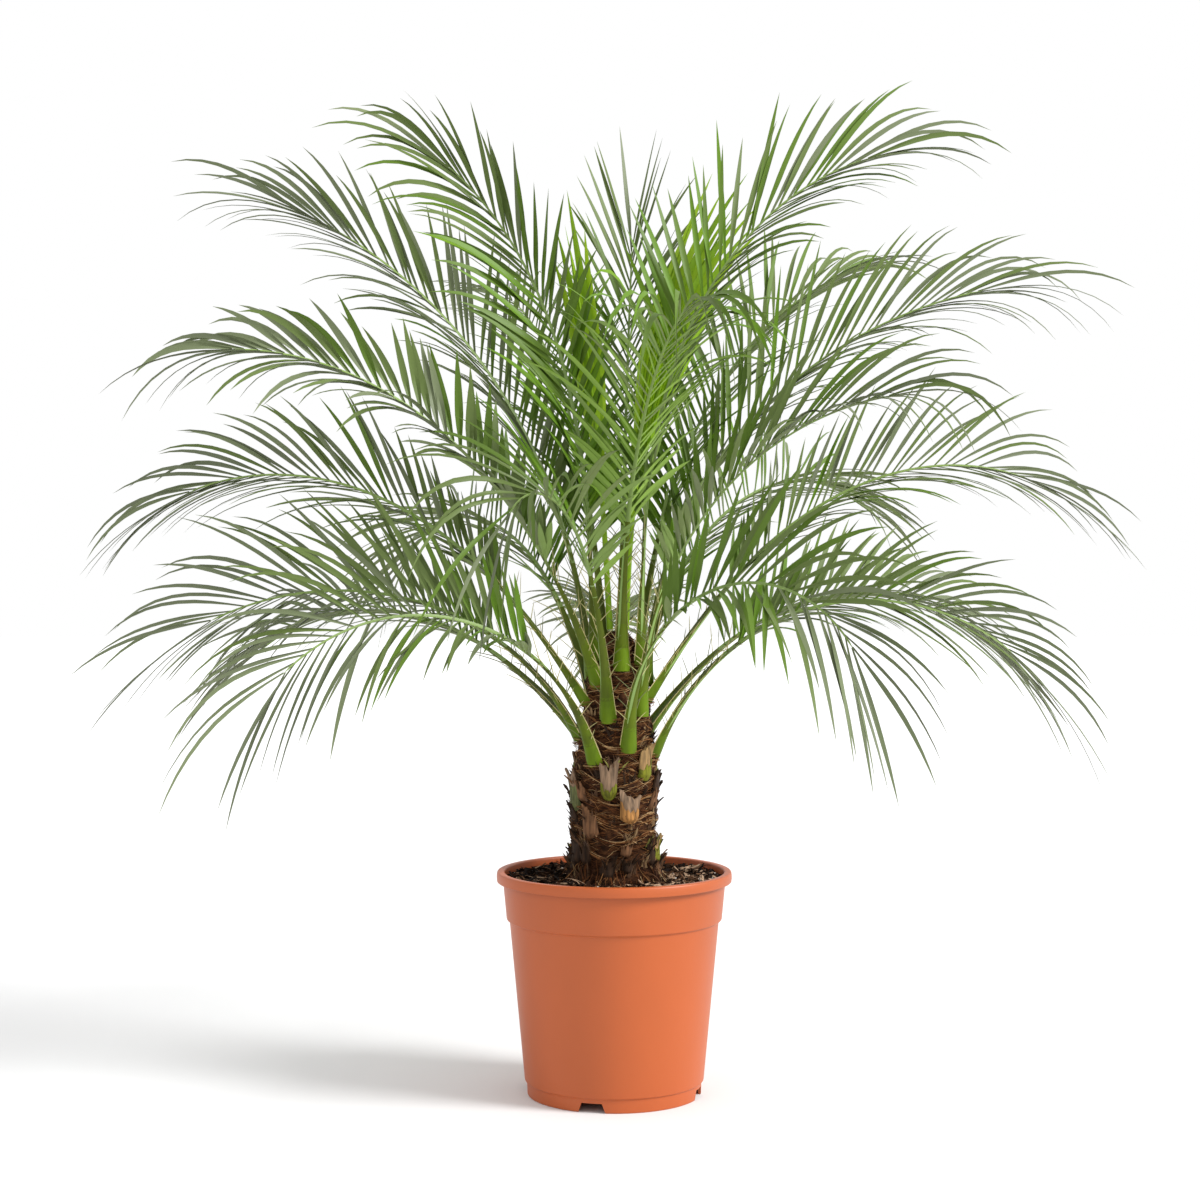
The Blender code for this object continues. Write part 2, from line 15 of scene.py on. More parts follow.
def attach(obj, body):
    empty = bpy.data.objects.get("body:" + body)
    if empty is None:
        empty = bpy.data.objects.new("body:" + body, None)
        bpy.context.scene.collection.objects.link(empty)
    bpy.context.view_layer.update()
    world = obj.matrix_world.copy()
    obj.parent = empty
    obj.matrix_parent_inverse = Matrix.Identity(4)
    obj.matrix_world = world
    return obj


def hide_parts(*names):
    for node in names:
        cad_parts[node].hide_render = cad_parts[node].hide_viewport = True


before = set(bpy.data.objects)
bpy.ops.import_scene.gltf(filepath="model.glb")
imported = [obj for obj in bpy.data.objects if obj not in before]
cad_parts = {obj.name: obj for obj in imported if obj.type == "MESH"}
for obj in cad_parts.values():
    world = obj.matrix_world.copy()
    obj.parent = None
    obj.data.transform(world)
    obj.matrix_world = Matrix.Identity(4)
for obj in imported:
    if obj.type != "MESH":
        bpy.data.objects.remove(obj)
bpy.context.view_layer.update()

BODY = "root"
SEED = 21

# The camera, level with the middle of the plant and tilted a little down
CAMERA_PLACE = (-0.0127, -2.04, 0.50)
CAMERA_TILT = 1.66
LENS_MM = 68.8
SENSOR_MM = 36.0

# The light, which comes from the right, in front of the plant and above it
KEY_FROM = (0.76, -0.30, 0.57)
KEY_STRENGTH = 3.6
KEY_SOFTNESS = 22
FLOOR_COLOUR = (225, 225, 225)

# The pot, 21 cm across the rim
POT_HEIGHT = 0.1995
POT_SIDES = 160
RIM_RADIUS = 0.105
LIP_HEIGHT = 0.009
COLLAR_RADIUS = 0.0998
COLLAR_FOOT_RADIUS = 0.0960
COLLAR_FOOT_Z = 0.1567
SHOULDER_STEP = 0.0026
BODY_FOOT_RADIUS = 0.0800
BASE_RADIUS = 0.0776
BASE_BAND_Z = 0.0130
WALL = 0.0018
FOOT_RING_WIDTH = 0.0024
FLOOR_RAISE = 0.0085
FLOOR_THICKNESS = 0.0025
CENTRE_FOOT_RADIUS = 0.0225
STEP_DROP = 0.0010
NOTCH_COUNT = 4
NOTCH_TURN = -105
NOTCH_FOOT_WIDTH = 0.0245
NOTCH_TOP_WIDTH = 0.0184
NOTCH_HEIGHT = 0.0085
NOTCH_DEPTH = 0.010
NOTCH_BELOW = -0.002

# The sheaths of old leaves, which overlap on the trunk, and how many fibres it has of each kind
SHEATH_HEIGHT = 0.0165
SHEATH_STEP = 0.0034
HEM_SWING = 0.32
HEM_WAVES = 3
NET_FIBRES = 3000
HEM_FIBRES = 900
LOOSE_FIBRES = 320
FOOT_FIBRES = 260
STRAND_POINTS = 7
CUFF_FIBRES = 12
SPLINTER_TUFTS = 120
SIDE_STUBS = 26
FOOT_STUBS = 22

# The trunk: (height, radius)
SOIL_TOP = 0.1880
SOIL_HEAPED = 0.0025
TRUNK_FOOT = SOIL_TOP + 0.0003
TRUNK_TOP = 0.415
TRUNK_LEAN = 0.003
LEAN_LATE = 1.5
TRUNK_PROFILE = (
    (TRUNK_FOOT, 0.0430),
    (0.2000, 0.0395),
    (0.2200, 0.0380),
    (0.2500, 0.0372),
    (0.2800, 0.0362),
    (0.3060, 0.0342),
    (0.3300, 0.0315),
    (0.3650, 0.0265),
    (0.3900, 0.0215),
    (0.4050, 0.0155),
    (TRUNK_TOP, 0.0070),
)

# The fronds: where the foot sits, where the rib heads, its length, rise, fall and roll, as in the
# solids. Then its leaflets: how dark, from 0 for young leaves to 5 for the oldest, how wide, how far
# they stand off the rib, how long, how long those on the rib's upper side are against the others, how
# limp the last ones are, and up to which share of the blade its upper side is bare
Frond = namedtuple(
    "Frond",
    "foot_turn foot_z turn length rise fall late roll dark wide open long upper limp bare",
    defaults=(0.0,),
)
FRONDS = (
    Frond(-150, 0.392, 185, 0.463, 88, 48, 2.15, -95, 2.0, 1.45, 0.68, 1, 0.80, 1.5),
    Frond(150, 0.375, 170, 0.522, 83, 59, 1.23, -45, 3.4, 1.12, 0.75, 1, 1, 1),
    Frond(-132, 0.370, 195, 0.459, 65, 68, 1.75, -45, 3.2, 1.45, 0.95, 1, 0.7, 1.5),
    Frond(-165, 0.354, 168, 0.447, 57, 80, 1.55, -52, 3.6, 1, 0.75, 1.08, 0.9, 1.2),
    Frond(180, 0.322, 190, 0.375, 64, 91, 0.93, -52, 3.8, 0.92, 0.9, 1.05, 1, 1.2),
    Frond(-123, 0.302, 212, 0.370, 65, 108, 1.14, -60, 3.2, 1, 1, 1.15, 1, 1.6),
    Frond(-104, 0.340, 238, 0.290, 77, 134, 3.0, -15, 2.2, 1.05, 1, 1.1, 1, 2.5),
    Frond(-80, 0.385, -76, 0.379, 90, 74, 1.13, 0, 0.8, 1.2, 1.0, 1.1, 1, 5.5),
    Frond(-30, 0.388, 8, 0.531, 90, 75, 1.9, 48, 2, 1.2, 0.82, 0.89, 1.15, 1.2, 0.30),
    Frond(10, 0.370, 0, 0.494, 90, 79, 0.91, 45, 2.8, 0.95, 0.8, 1.05, 1, 1.6),
    Frond(-45, 0.345, -35, 0.397, 88, 82, 0.98, 30, 2.6, 0.95, 0.95, 1, 1, 2),
    Frond(-5, 0.357, 8, 0.436, 57, 81, 1.73, 48, 3.4, 0.82, 0.8, 1.05, 0.9, 1.3),
    Frond(-8, 0.308, -12, 0.379, 66, 108, 1.11, 52, 3.4, 0.88, 0.82, 1.1, 0.85, 1.6),
    Frond(-71, 0.314, -42, 0.345, 81, 137, 1.2, 58, 2.8, 1.08, 0.95, 1.18, 0.9, 1.3),
    Frond(80, 0.390, 80, 0.38, 87, 12, 1.0, 0, 2.0, 1.2, 0.85, 0.94, 1, 0.7),
    Frond(112, 0.372, 112, 0.46, 82, 62, 1.3, -15, 1.8, 1.15, 1, 1, 1, 1),
    Frond(42, 0.378, 38, 0.46, 83, 62, 1.3, 15, 1.8, 1.15, 0.95, 1, 1, 1),
    Frond(130, 0.345, 125, 0.42, 68, 112, 1.3, -20, 2.4, 1, 1, 1, 1, 1),
    Frond(55, 0.350, 50, 0.45, 68, 92, 1.2, 25, 2.4, 1, 1, 1, 1, 1),
    Frond(158, 0.318, 150, 0.40, 48, 84, 1.2, -30, 3.4, 0.95, 1, 1, 1, 1),
    Frond(28, 0.325, 28, 0.41, 50, 86, 1.2, 30, 3.2, 0.95, 1, 1, 1, 1),
    Frond(92, 0.322, 90, 0.40, 46, 86, 1.2, 0, 3.2, 0.95, 1, 1, 1, 1),
)
RIB_STEPS = 60
AIM_BY = 0.35
ROLL_BY = 0.5
STALK_LENGTH = 0.12
RIB_FOOT_WIDTH = 0.0150
RIB_BLADE_WIDTH = 0.0046
RIB_TIP_WIDTH = 0.0014
RIB_NARROWING = 0.055
RIB_DEPTH_SHARE = 0.55
RIB_LEAST_DEPTH = 0.0014
RIB_FACE_SHARE = 0.4
RIB_SUNK = 0.006
RIB_STATIONS = 34

# The rib's section across its width and down its depth: a shallow channel over a rounded keel
RIB_SECTION = (
    (-1.0, 0.0),
    (-0.5, -0.14),
    (0.5, -0.14),
    (1.0, 0.0),
    (0.92, -0.40),
    (0.55, -0.85),
    (0.0, -1.0),
    (-0.55, -0.85),
    (-0.92, -0.40),
)

# The leaflets, in two ranks on each rib
LEAFLET_LENGTH = 0.118
LEAFLET_SPACING = 0.0088
LEAFLET_WIDTH = 0.0064
WIDTH_AT_TIP = 0.64
LEAFLET_RINGS = 9
LEAFLET_SKIN = 0.00020
SKIN_GAP = 0.00004
SAG_AT_STALK = 0.42
SAG_AT_TIP = 0.90
ANGLE_AT_STALK = 50
ANGLE_AT_TIP = 12
ANGLE_LATE = 3.0
LIFT_AT_STALK = 36
LIFT_AT_TIP = 22
LEAFLET_TILT = 22
LONGER_AT_TIP = 1.10
SHORTEST_LEAFLET = 0.50
SHORT_UNTIL_ON_LOW = 0.42
SHORT_UNTIL_ON_HIGH = 0.30
LOW_FROND_Z = 0.345
HIGH_FROND_Z = 0.385
CROWDED_FOOT = 1.22
UPPER_SIDE = 0.1
GREYER_OUT = 2.4
TONE_SPREAD = 0.55
FOLD_AT_ROOT = 38
FOLD_AT_TIP = 10

# A pale streak along one side of the stalk's keel: a painted highlight
PAINTED_HIGHLIGHT_SECTION = (
    (0.50, -0.92),
    (0.88, -0.52),
    (0.80, -0.46),
    (0.46, -0.82),
)

# Spines on the stalk, in place of its lowest leaflets
SPINE_FROM = 0.022
SPINE_SPACING = 0.0105
SPINE_SHORTEST = 0.014
SPINE_LONGEST = 0.040
SPINE_RADIUS = 0.00045
SPINE_ANGLE = 48

# Young leaves that haven't opened: course as in the solids, then how far each is rolled, and how many
# leaflets still lie side by side in it
Spear = namedtuple("Spear", "turn length rise fall roll leaflets")
SPEARS = (
    Spear(12, 0.40, 88, 36, 80, 10),
    Spear(200, 0.36, 87, 10, 80, 5),
)
SPEAR_FOOT_OFFSET = 0.0075
SPEAR_LATE = 1.6
SPEAR_STALK = 0.12
SPEAR_LEAFLET_WIDTH = 0.0115
SPEAR_PITCH = 0.0042
SPEAR_SPLAY = 1.0
SPEAR_PLEAT = 35
SPEAR_STEPS = 18

# Cut leaf bases: place and size as in the solids, then how much of the height is still fresh, which
# of the fresh and dry colours each has, how ragged its top is, how far it bulges, how much it widens
# upwards, how far its corners stand above the middle of its top, and how it slants
Husk = namedtuple("Husk", "turn z width height lean fresh fresh_look dry_look ragged bulge flare ears slant")
HUSKS = (
    Husk(-99, 0.266, 0.014, 0.034, 5, 0.28, "fresh_yellow", "dry_grey", 0.14, 0.0034, 0.30, 0.20, 0.08),
    Husk(-43, 0.282, 0.014, 0.030, 7, 0.42, "fresh_yellow", "dry_tan", 0.06, 0.0034, 0.10, 0.06, 0.14),
    Husk(-70, 0.246, 0.017, 0.026, 6, 0.42, "dry_orange", "dry_grey", 0.16, 0.0064, 0.20, 0.20, -0.12),
    Husk(-125, 0.232, 0.016, 0.025, 6, 0.0, "fresh_yellow", "dry_pink", 0.10, 0.0034, -0.25, 0.10, -0.25),
    Husk(-160, 0.254, 0.015, 0.036, 11, 0.60, "fresh_grey", "dry_grey", 0.10, 0.0030, 0.25, 0.18, 0.0),
    Husk(-18, 0.208, 0.013, 0.022, 6, 0.60, "fresh_yellow", "dry_tan", 0.30, 0.0024, 0.15, 0.10, 0.2),
    Husk(-12, 0.266, 0.012, 0.024, 8, 0.0, "fresh_grey", "dry_dark", 0.24, 0.0024, 0.10, 0.10, 0.0),
    Husk(24, 0.272, 0.015, 0.032, 6, 0.50, "fresh_green", "dry_tan", 0.10, 0.0034, 0.30, 0.20, 0.1),
    Husk(52, 0.238, 0.016, 0.028, 7, 0.0, "fresh_grey", "dry_grey", 0.14, 0.0030, 0.10, 0.14, -0.2),
    Husk(88, 0.264, 0.015, 0.034, 5, 0.45, "fresh_yellow", "dry_tan", 0.12, 0.0034, 0.40, 0.22, 0.0),
    Husk(122, 0.234, 0.016, 0.026, 7, 0.0, "fresh_grey", "dry_pink", 0.12, 0.0030, -0.15, 0.10, 0.2),
    Husk(158, 0.276, 0.014, 0.030, 6, 0.50, "fresh_green", "dry_grey", 0.10, 0.0034, 0.25, 0.16, -0.1),
    Husk(-150, 0.208, 0.014, 0.022, 5, 0.0, "fresh_grey", "dry_dark", 0.20, 0.0024, 0.0, 0.10, 0.0),
)
HUSK_COLUMNS = 13
HUSK_ROWS = 11
HUSK_SKIN = 0.0008
HUSK_TUCK = 0.0030
HUSK_CURL = 0.0022
HUSK_ROUND = 0.14
HUSK_HAIRS = 4

# Colours as they look on a screen, 0 to 255
LEAF_TONES = ((104, 140, 26), (90, 124, 26), (86, 112, 36), (94, 111, 58), (106, 116, 84), (102, 110, 84))
BACK_TONES = ((138, 168, 80), (126, 150, 82), (120, 136, 84), (118, 129, 92), (114, 122, 96), (106, 112, 88))
STALK_COLOURS = ((88, 112, 12), (82, 98, 16), (80, 92, 24))
# The stalk's pale streak is a painted highlight
PAINTED_HIGHLIGHT_COLOUR = (138, 166, 92)
RIB_COLOUR = (122, 146, 76)
MARGIN_COLOUR = (196, 182, 128)
SPINE_COLOURS = ((176, 168, 112), (104, 108, 66))
SPEAR_COLOURS = ((158, 194, 38), (130, 168, 30))
CORE_COLOURS = ((30, 16, 9), (58, 34, 20), (92, 61, 38))
FIBRE_COLOURS = ((50, 25, 11), (98, 58, 30), (146, 103, 62), (192, 160, 116))
SPLINTER_COLOURS = ((46, 33, 23), (88, 64, 46), (140, 114, 82), (136, 134, 70))
HUSK_COLOURS = {
    "fresh_yellow": (114, 116, 34),
    "fresh_green": (96, 118, 40),
    "fresh_grey": (102, 106, 66),
    "dry_orange": (166, 118, 66),
    "dry_grey": (132, 108, 86),
    "dry_tan": (152, 122, 80),
    "dry_pink": (116, 82, 56),
    "dry_dark": (58, 41, 29),
}
POT_COLOUR = (175, 84, 36)
SOIL_COLOURS = ((20, 9, 4), (42, 24, 13), (98, 70, 50), (172, 143, 118), (232, 222, 212))


def mix(a, b, share):
    return a + (b - a) * share


def ease(share):
    share = min(1.0, max(0.0, share))
    return share * share * (3 - 2 * share)


def screen(colour):
    """The linear colour of one that is given as it looks on a screen."""
    def linear(value):
        value /= 255
        return value / 12.92 if value <= 0.04045 else ((value + 0.055) / 1.055) ** 2.4

    return (*(linear(value) for value in colour), 1.0)


# Materials


def plain(name, colour, roughness, specular=0.5):
    """A material of one plain colour."""
    made = bpy.data.materials.new(name)
    made.use_nodes = True
    shader = made.node_tree.nodes["Principled BSDF"]
    shader.inputs["Base Color"].default_value = screen(colour)
    shader.inputs["Roughness"].default_value = roughness
    shader.inputs["Specular IOR Level"].default_value = specular
    return made


def textured(name, colours, scale, stretch, roughness, bump, fine_scale, specular=0.25):
    """A material whose colour runs between several by a noise, with a finer noise as bump."""
    made = plain(name, colours[0], roughness[0], specular)
    nodes, links = made.node_tree.nodes, made.node_tree.links
    shader = nodes["Principled BSDF"]
    place = nodes.new("ShaderNodeTexCoord")
    mapping = nodes.new("ShaderNodeMapping")
    mapping.inputs["Scale"].default_value = stretch
    links.new(place.outputs["Object"], mapping.inputs["Vector"])
    wide = nodes.new("ShaderNodeTexNoise")
    wide.inputs["Scale"].default_value = scale
    wide.inputs["Detail"].default_value = 6
    links.new(mapping.outputs["Vector"], wide.inputs["Vector"])
    ramp = nodes.new("ShaderNodeValToRGB")
    while len(ramp.color_ramp.elements) < len(colours):
        ramp.color_ramp.elements.new(0.5)
    for i, colour in enumerate(colours):
        ramp.color_ramp.elements[i].position = mix(0.32, 0.68, i / (len(colours) - 1))
        ramp.color_ramp.elements[i].color = screen(colour)
    links.new(wide.outputs["Fac"], ramp.inputs["Fac"])
    links.new(ramp.outputs["Color"], shader.inputs["Base Color"])
    rough = nodes.new("ShaderNodeMapRange")
    rough.inputs["To Min"].default_value = roughness[0]
    rough.inputs["To Max"].default_value = roughness[1]
    links.new(wide.outputs["Fac"], rough.inputs["Value"])
    links.new(rough.outputs["Result"], shader.inputs["Roughness"])
    fine = nodes.new("ShaderNodeTexNoise")
    fine.inputs["Scale"].default_value = fine_scale
    fine.inputs["Detail"].default_value = 4
    links.new(mapping.outputs["Vector"], fine.inputs["Vector"])
    relief = nodes.new("ShaderNodeBump")
    relief.inputs["Strength"].default_value = bump[0]
    relief.inputs["Distance"].default_value = bump[1]
    links.new(fine.outputs["Fac"], relief.inputs["Height"])
    links.new(relief.outputs["Normal"], shader.inputs["Normal"])
    return made


# Pieces made of many small closed shapes


class Heap:
    """Small closed shapes of one look, joined into one piece."""

    def __init__(self, name, look, slot, smooth_angle=None):
        self.name = name
        self.look = look
        self.slot = slot
        self.smooth_angle = smooth_angle
        self.points = []
        self.faces = []

    def add(self, points, faces):
        start = len(self.points)
        self.points += points
        self.faces += [tuple(start + corner for corner in face) for face in faces]

    def piece(self):
        mesh = bpy.data.meshes.new(self.name)
        mesh.from_pydata(self.points, [], self.faces)
        mesh.update()
        return finished(self.name, mesh, self.look, self.smooth_angle)


def finished(name, mesh, look, smooth_angle=None):
    """A piece of the plant from a mesh, with its look, riding on the one body."""
    if smooth_angle is not None:
        mesh.shade_smooth()
        mesh.set_sharp_from_angle(angle=math.radians(smooth_angle))
    made = bpy.data.objects.new(name, mesh)
    bpy.context.scene.collection.objects.link(made)
    mesh.materials.append(look)
    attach(made, BODY)
    return made


def tube_faces(rings, corners):
    """Faces of a closed tube of rings that ends in one point."""
    faces = [tuple(reversed(range(corners)))]
    for ring in range(rings - 1):
        start = ring * corners
        for i in range(corners):
            j = (i + 1) % corners
            faces.append((start + i, start + j, start + corners + j, start + corners + i))
    last = (rings - 1) * corners
    faces += [(last + i, last + (i + 1) % corners, rings * corners) for i in range(corners)]
    return faces


def headings_of(line):
    """The direction of a line at each of its points."""
    steps = [(b - a).normalized() for a, b in zip(line, line[1:])]
    return [steps[0]] + [(a + b).normalized() for a, b in zip(steps, steps[1:])] + [steps[-1]]


def thread(heap, line, radius, corners=3, taper=0.5):
    """A thin round strand along a line, which ends in a point."""
    points = []
    rings = len(line) - 1
    for i, (place, heading) in enumerate(zip(line[:-1], headings_of(line))):
        side = heading.cross(Vector((0.31, 0.17, 0.94))).normalized()
        up = side.cross(heading)
        around = radius * (1 - taper * i / rings)
        for corner in range(corners):
            angle = -math.tau * corner / corners
            points.append(place + (side * math.cos(angle) + up * math.sin(angle)) * around)
    heap.add(points + [line[-1]], tube_faces(rings, corners))


# The pot


def rounded(profile, radius, steps=4):
    """A profile of (radius, height) points with its inner corners rounded off."""
    made = [profile[0]]
    for before, corner, after in zip(profile, profile[1:], profile[2:]):
        a, c, b = Vector(before), Vector(corner), Vector(after)
        reach = min(radius, 0.45 * (a - c).length, 0.45 * (b - c).length)
        start = c + (a - c).normalized() * reach
        end = c + (b - c).normalized() * reach
        for i in range(steps + 1):
            t = i / steps
            made.append(tuple(start * (1 - t) ** 2 + c * 2 * t * (1 - t) + end * t ** 2))
    return made + [profile[-1]]


def pot_profile():
    """From the middle of the underside, up the outside, over the lip and down the inside."""
    lip_foot = POT_HEIGHT - LIP_HEIGHT
    brim_under = POT_HEIGHT - WALL
    floor = FLOOR_RAISE + FLOOR_THICKNESS
    return [
        (0, 0),
        (CENTRE_FOOT_RADIUS, 0),
        (CENTRE_FOOT_RADIUS, FLOOR_RAISE),
        (BASE_RADIUS - FOOT_RING_WIDTH, FLOOR_RAISE),
        (BASE_RADIUS - FOOT_RING_WIDTH, 0),
        (BASE_RADIUS, 0),
        (BASE_RADIUS + 0.0005, BASE_BAND_Z - STEP_DROP),
        (BODY_FOOT_RADIUS, BASE_BAND_Z),
        (COLLAR_FOOT_RADIUS - SHOULDER_STEP, COLLAR_FOOT_Z - STEP_DROP),
        (COLLAR_FOOT_RADIUS, COLLAR_FOOT_Z),
        (COLLAR_RADIUS - 0.0006, lip_foot),
        (COLLAR_RADIUS, brim_under),
        (RIM_RADIUS - WALL, brim_under),
        (RIM_RADIUS - WALL, lip_foot),
        (RIM_RADIUS - 0.0004, lip_foot),
        (RIM_RADIUS, lip_foot + LIP_HEIGHT / 2),
        (RIM_RADIUS - 0.0006, POT_HEIGHT),
        (COLLAR_RADIUS - WALL, POT_HEIGHT),
        (COLLAR_RADIUS - WALL - 0.0003, lip_foot),
        (COLLAR_FOOT_RADIUS - WALL, COLLAR_FOOT_Z),
        (COLLAR_FOOT_RADIUS - SHOULDER_STEP - WALL, COLLAR_FOOT_Z - STEP_DROP),
        (BODY_FOOT_RADIUS - WALL, floor),
        (0, floor),
    ]


def lathe(profile, sides):
    """A closed mesh turned round the Z axis, from the bottom's middle to the top's."""
    work = bmesh.new()
    rings = []
    for radius, z in profile:
        if radius == 0:
            rings.append([work.verts.new((0, 0, z))])
            continue
        angles = [math.tau * i / sides for i in range(sides)]
        rings.append([work.verts.new((radius * math.cos(a), radius * math.sin(a), z)) for a in angles])
    for lower, upper in zip(rings, rings[1:]):
        for i in range(sides):
            j = (i + 1) % sides
            if len(lower) == 1:
                work.faces.new((lower[0], upper[j], upper[i]))
            elif len(upper) == 1:
                work.faces.new((lower[i], lower[j], upper[0]))
            else:
                work.faces.new((lower[i], lower[j], upper[j], upper[i]))
    return work


def notch_cutter(index):
    """A wedge-sided block that cuts one drainage notch through the foot ring."""
    slope = (NOTCH_FOOT_WIDTH - NOTCH_TOP_WIDTH) / (2 * NOTCH_HEIGHT)
    foot = NOTCH_FOOT_WIDTH / 2 - slope * NOTCH_BELOW
    top = NOTCH_TOP_WIDTH / 2
    section = ((-foot, NOTCH_BELOW), (foot, NOTCH_BELOW), (top, NOTCH_HEIGHT), (-top, NOTCH_HEIGHT))
    work = bmesh.new()
    ends = []
    for radius in (BASE_RADIUS - NOTCH_DEPTH, BASE_RADIUS + NOTCH_DEPTH):
        ends.append([work.verts.new((radius, y, z)) for y, z in section])
    for i in range(4):
        j = (i + 1) % 4
        work.faces.new((ends[0][i], ends[0][j], ends[1][j], ends[1][i]))
    work.faces.new(list(reversed(ends[0])))
    work.faces.new(ends[1])
    bmesh.ops.recalc_face_normals(work, faces=work.faces)
    mesh = bpy.data.meshes.new("notch")
    work.to_mesh(mesh)
    work.free()
    made = bpy.data.objects.new("notch", mesh)
    bpy.context.scene.collection.objects.link(made)
    made.rotation_euler.z = math.radians(NOTCH_TURN + index * 360 / NOTCH_COUNT)
    return made


def pot_look():
    """Satin moulded plastic: a faint mottle in its colour and gloss, and a skin that is barely rough."""
    shades = [tuple(min(255, channel * share) for channel in POT_COLOUR) for share in (0.975, 1.0, 1.02)]
    return textured("moulded_plastic", shades, 14, (1, 1, 0.5), (0.40, 0.50), (0.10, 0.0004), 420, 0.45)


def make_pot():
    work = lathe(rounded(pot_profile(), 0.0016), POT_SIDES)
    mesh = bpy.data.meshes.new("pot_shell")
    work.to_mesh(mesh)
    work.free()
    pot = bpy.data.objects.new("pot_shell", mesh)
    bpy.context.scene.collection.objects.link(pot)
    cutters = [notch_cutter(index) for index in range(NOTCH_COUNT)]
    for cutter in cutters:
        cut = pot.modifiers.new(cutter.name, "BOOLEAN")
        cut.operation = "DIFFERENCE"
        cut.object = cutter
    bpy.context.view_layer.update()
    shape = bpy.data.meshes.new_from_object(pot.evaluated_get(bpy.context.evaluated_depsgraph_get()))
    for old in cutters + [pot]:
        bpy.data.objects.remove(old)
    made = finished("nursery_pot", shape, pot_look(), 32)
    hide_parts("pot")


# The soil


def soil_height(x, y):
    """The uneven top of the soil, a little higher round the trunk."""
    near = Vector((x * 60, y * 60, 0))
    lumps = noise.noise(near) * 0.0018 + noise.noise(near * 3.1) * 0.0012
    rim = 0.0026 * ease((math.hypot(x, y) - 0.070) / 0.022)
    return SOIL_TOP + SOIL_HEAPED + lumps + rim


def soil_edge_radius():
    share = (SOIL_TOP - COLLAR_FOOT_Z) / (POT_HEIGHT - WALL - COLLAR_FOOT_Z)
    return mix(COLLAR_FOOT_RADIUS, COLLAR_RADIUS, share) - WALL - 0.0004


def make_soil_body():
    """The soil's lumpy surface with a skirt down the pot's inside, closed underneath."""
    rings, sides, depth = 34, 120, 0.03
    edge = soil_edge_radius()
    points = [Vector((0, 0, soil_height(0, 0)))]
    for ring in range(1, rings + 1):
        for side in range(sides):
            angle = math.tau * side / sides
            radius = edge * ring / rings
            x, y = radius * math.cos(angle), radius * math.sin(angle)
            points.append(Vector((x, y, soil_height(x, y))))
    foot = edge - 0.004
    for side in range(sides):
        angle = math.tau * side / sides
        points.append(Vector((foot * math.cos(angle), foot * math.sin(angle), SOIL_TOP - depth)))
    faces = [(0, 1 + side, 1 + (side + 1) % sides) for side in range(sides)]
    for ring in range(rings):
        start = 1 + ring * sides
        for side in range(sides):
            j = (side + 1) % sides
            faces.append((start + side, start + sides + side, start + sides + j, start + j))
    faces.append(tuple(reversed(range(1 + rings * sides, 1 + (rings + 1) * sides))))
    look = textured("soil", (SOIL_COLOURS[0],) + SOIL_COLOURS[:2], 220, (1, 1, 1), (0.85, 1.0), (0.9, 0.002), 900)
    heap = Heap("soil_surface", look, "potting_soil", 60)
    heap.add(points, faces)
    made = heap.piece()
    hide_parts("soil")


CHIP_FACES = ((3, 2, 1, 0), (4, 5, 6, 7), (0, 1, 5, 4), (1, 2, 6, 5), (2, 3, 7, 6), (3, 0, 4, 7))
CHIP_CORNERS = ((-1, -1, -1), (1, -1, -1), (1, 1, -1), (-1, 1, -1), (-1, -1, 1), (1, -1, 1), (1, 1, 1), (-1, 1, 1))


def chip(heap, place, size, dice, tilt):
    """A crooked little block: a flake of bark, a crumb of peat or a grain."""
    turn = Matrix.Rotation(dice.uniform(0, math.tau), 3, "Z")
    turn = turn @ Matrix.Rotation(dice.gauss(0, tilt), 3, "X") @ Matrix.Rotation(dice.gauss(0, tilt), 3, "Y")
    points = []
    for corner in CHIP_CORNERS:
        shrink = dice.uniform(0.55, 1.0)
        points.append(place + turn @ Vector([c * s / 2 * shrink for c, s in zip(corner, size)]))
    heap.add(points, CHIP_FACES)


def soil_spot(dice):
    """A random place on the soil between the trunk and the pot."""
    angle = dice.uniform(0, math.tau)
    radius = math.sqrt(dice.uniform(0.040 ** 2, (soil_edge_radius() - 0.003) ** 2))
    x, y = radius * math.cos(angle), radius * math.sin(angle)
    return Vector((x, y, soil_height(x, y)))


def is_outside_painted_shade(spot):
    """Whether pale flakes lie thick here: in front of the trunk and to the right. To the left and behind they are
    fewer, and dark flakes paint the trunk's shade there, over soil that is browner too.
    """
    return spot.x - spot.y * 0.8 > 0.018


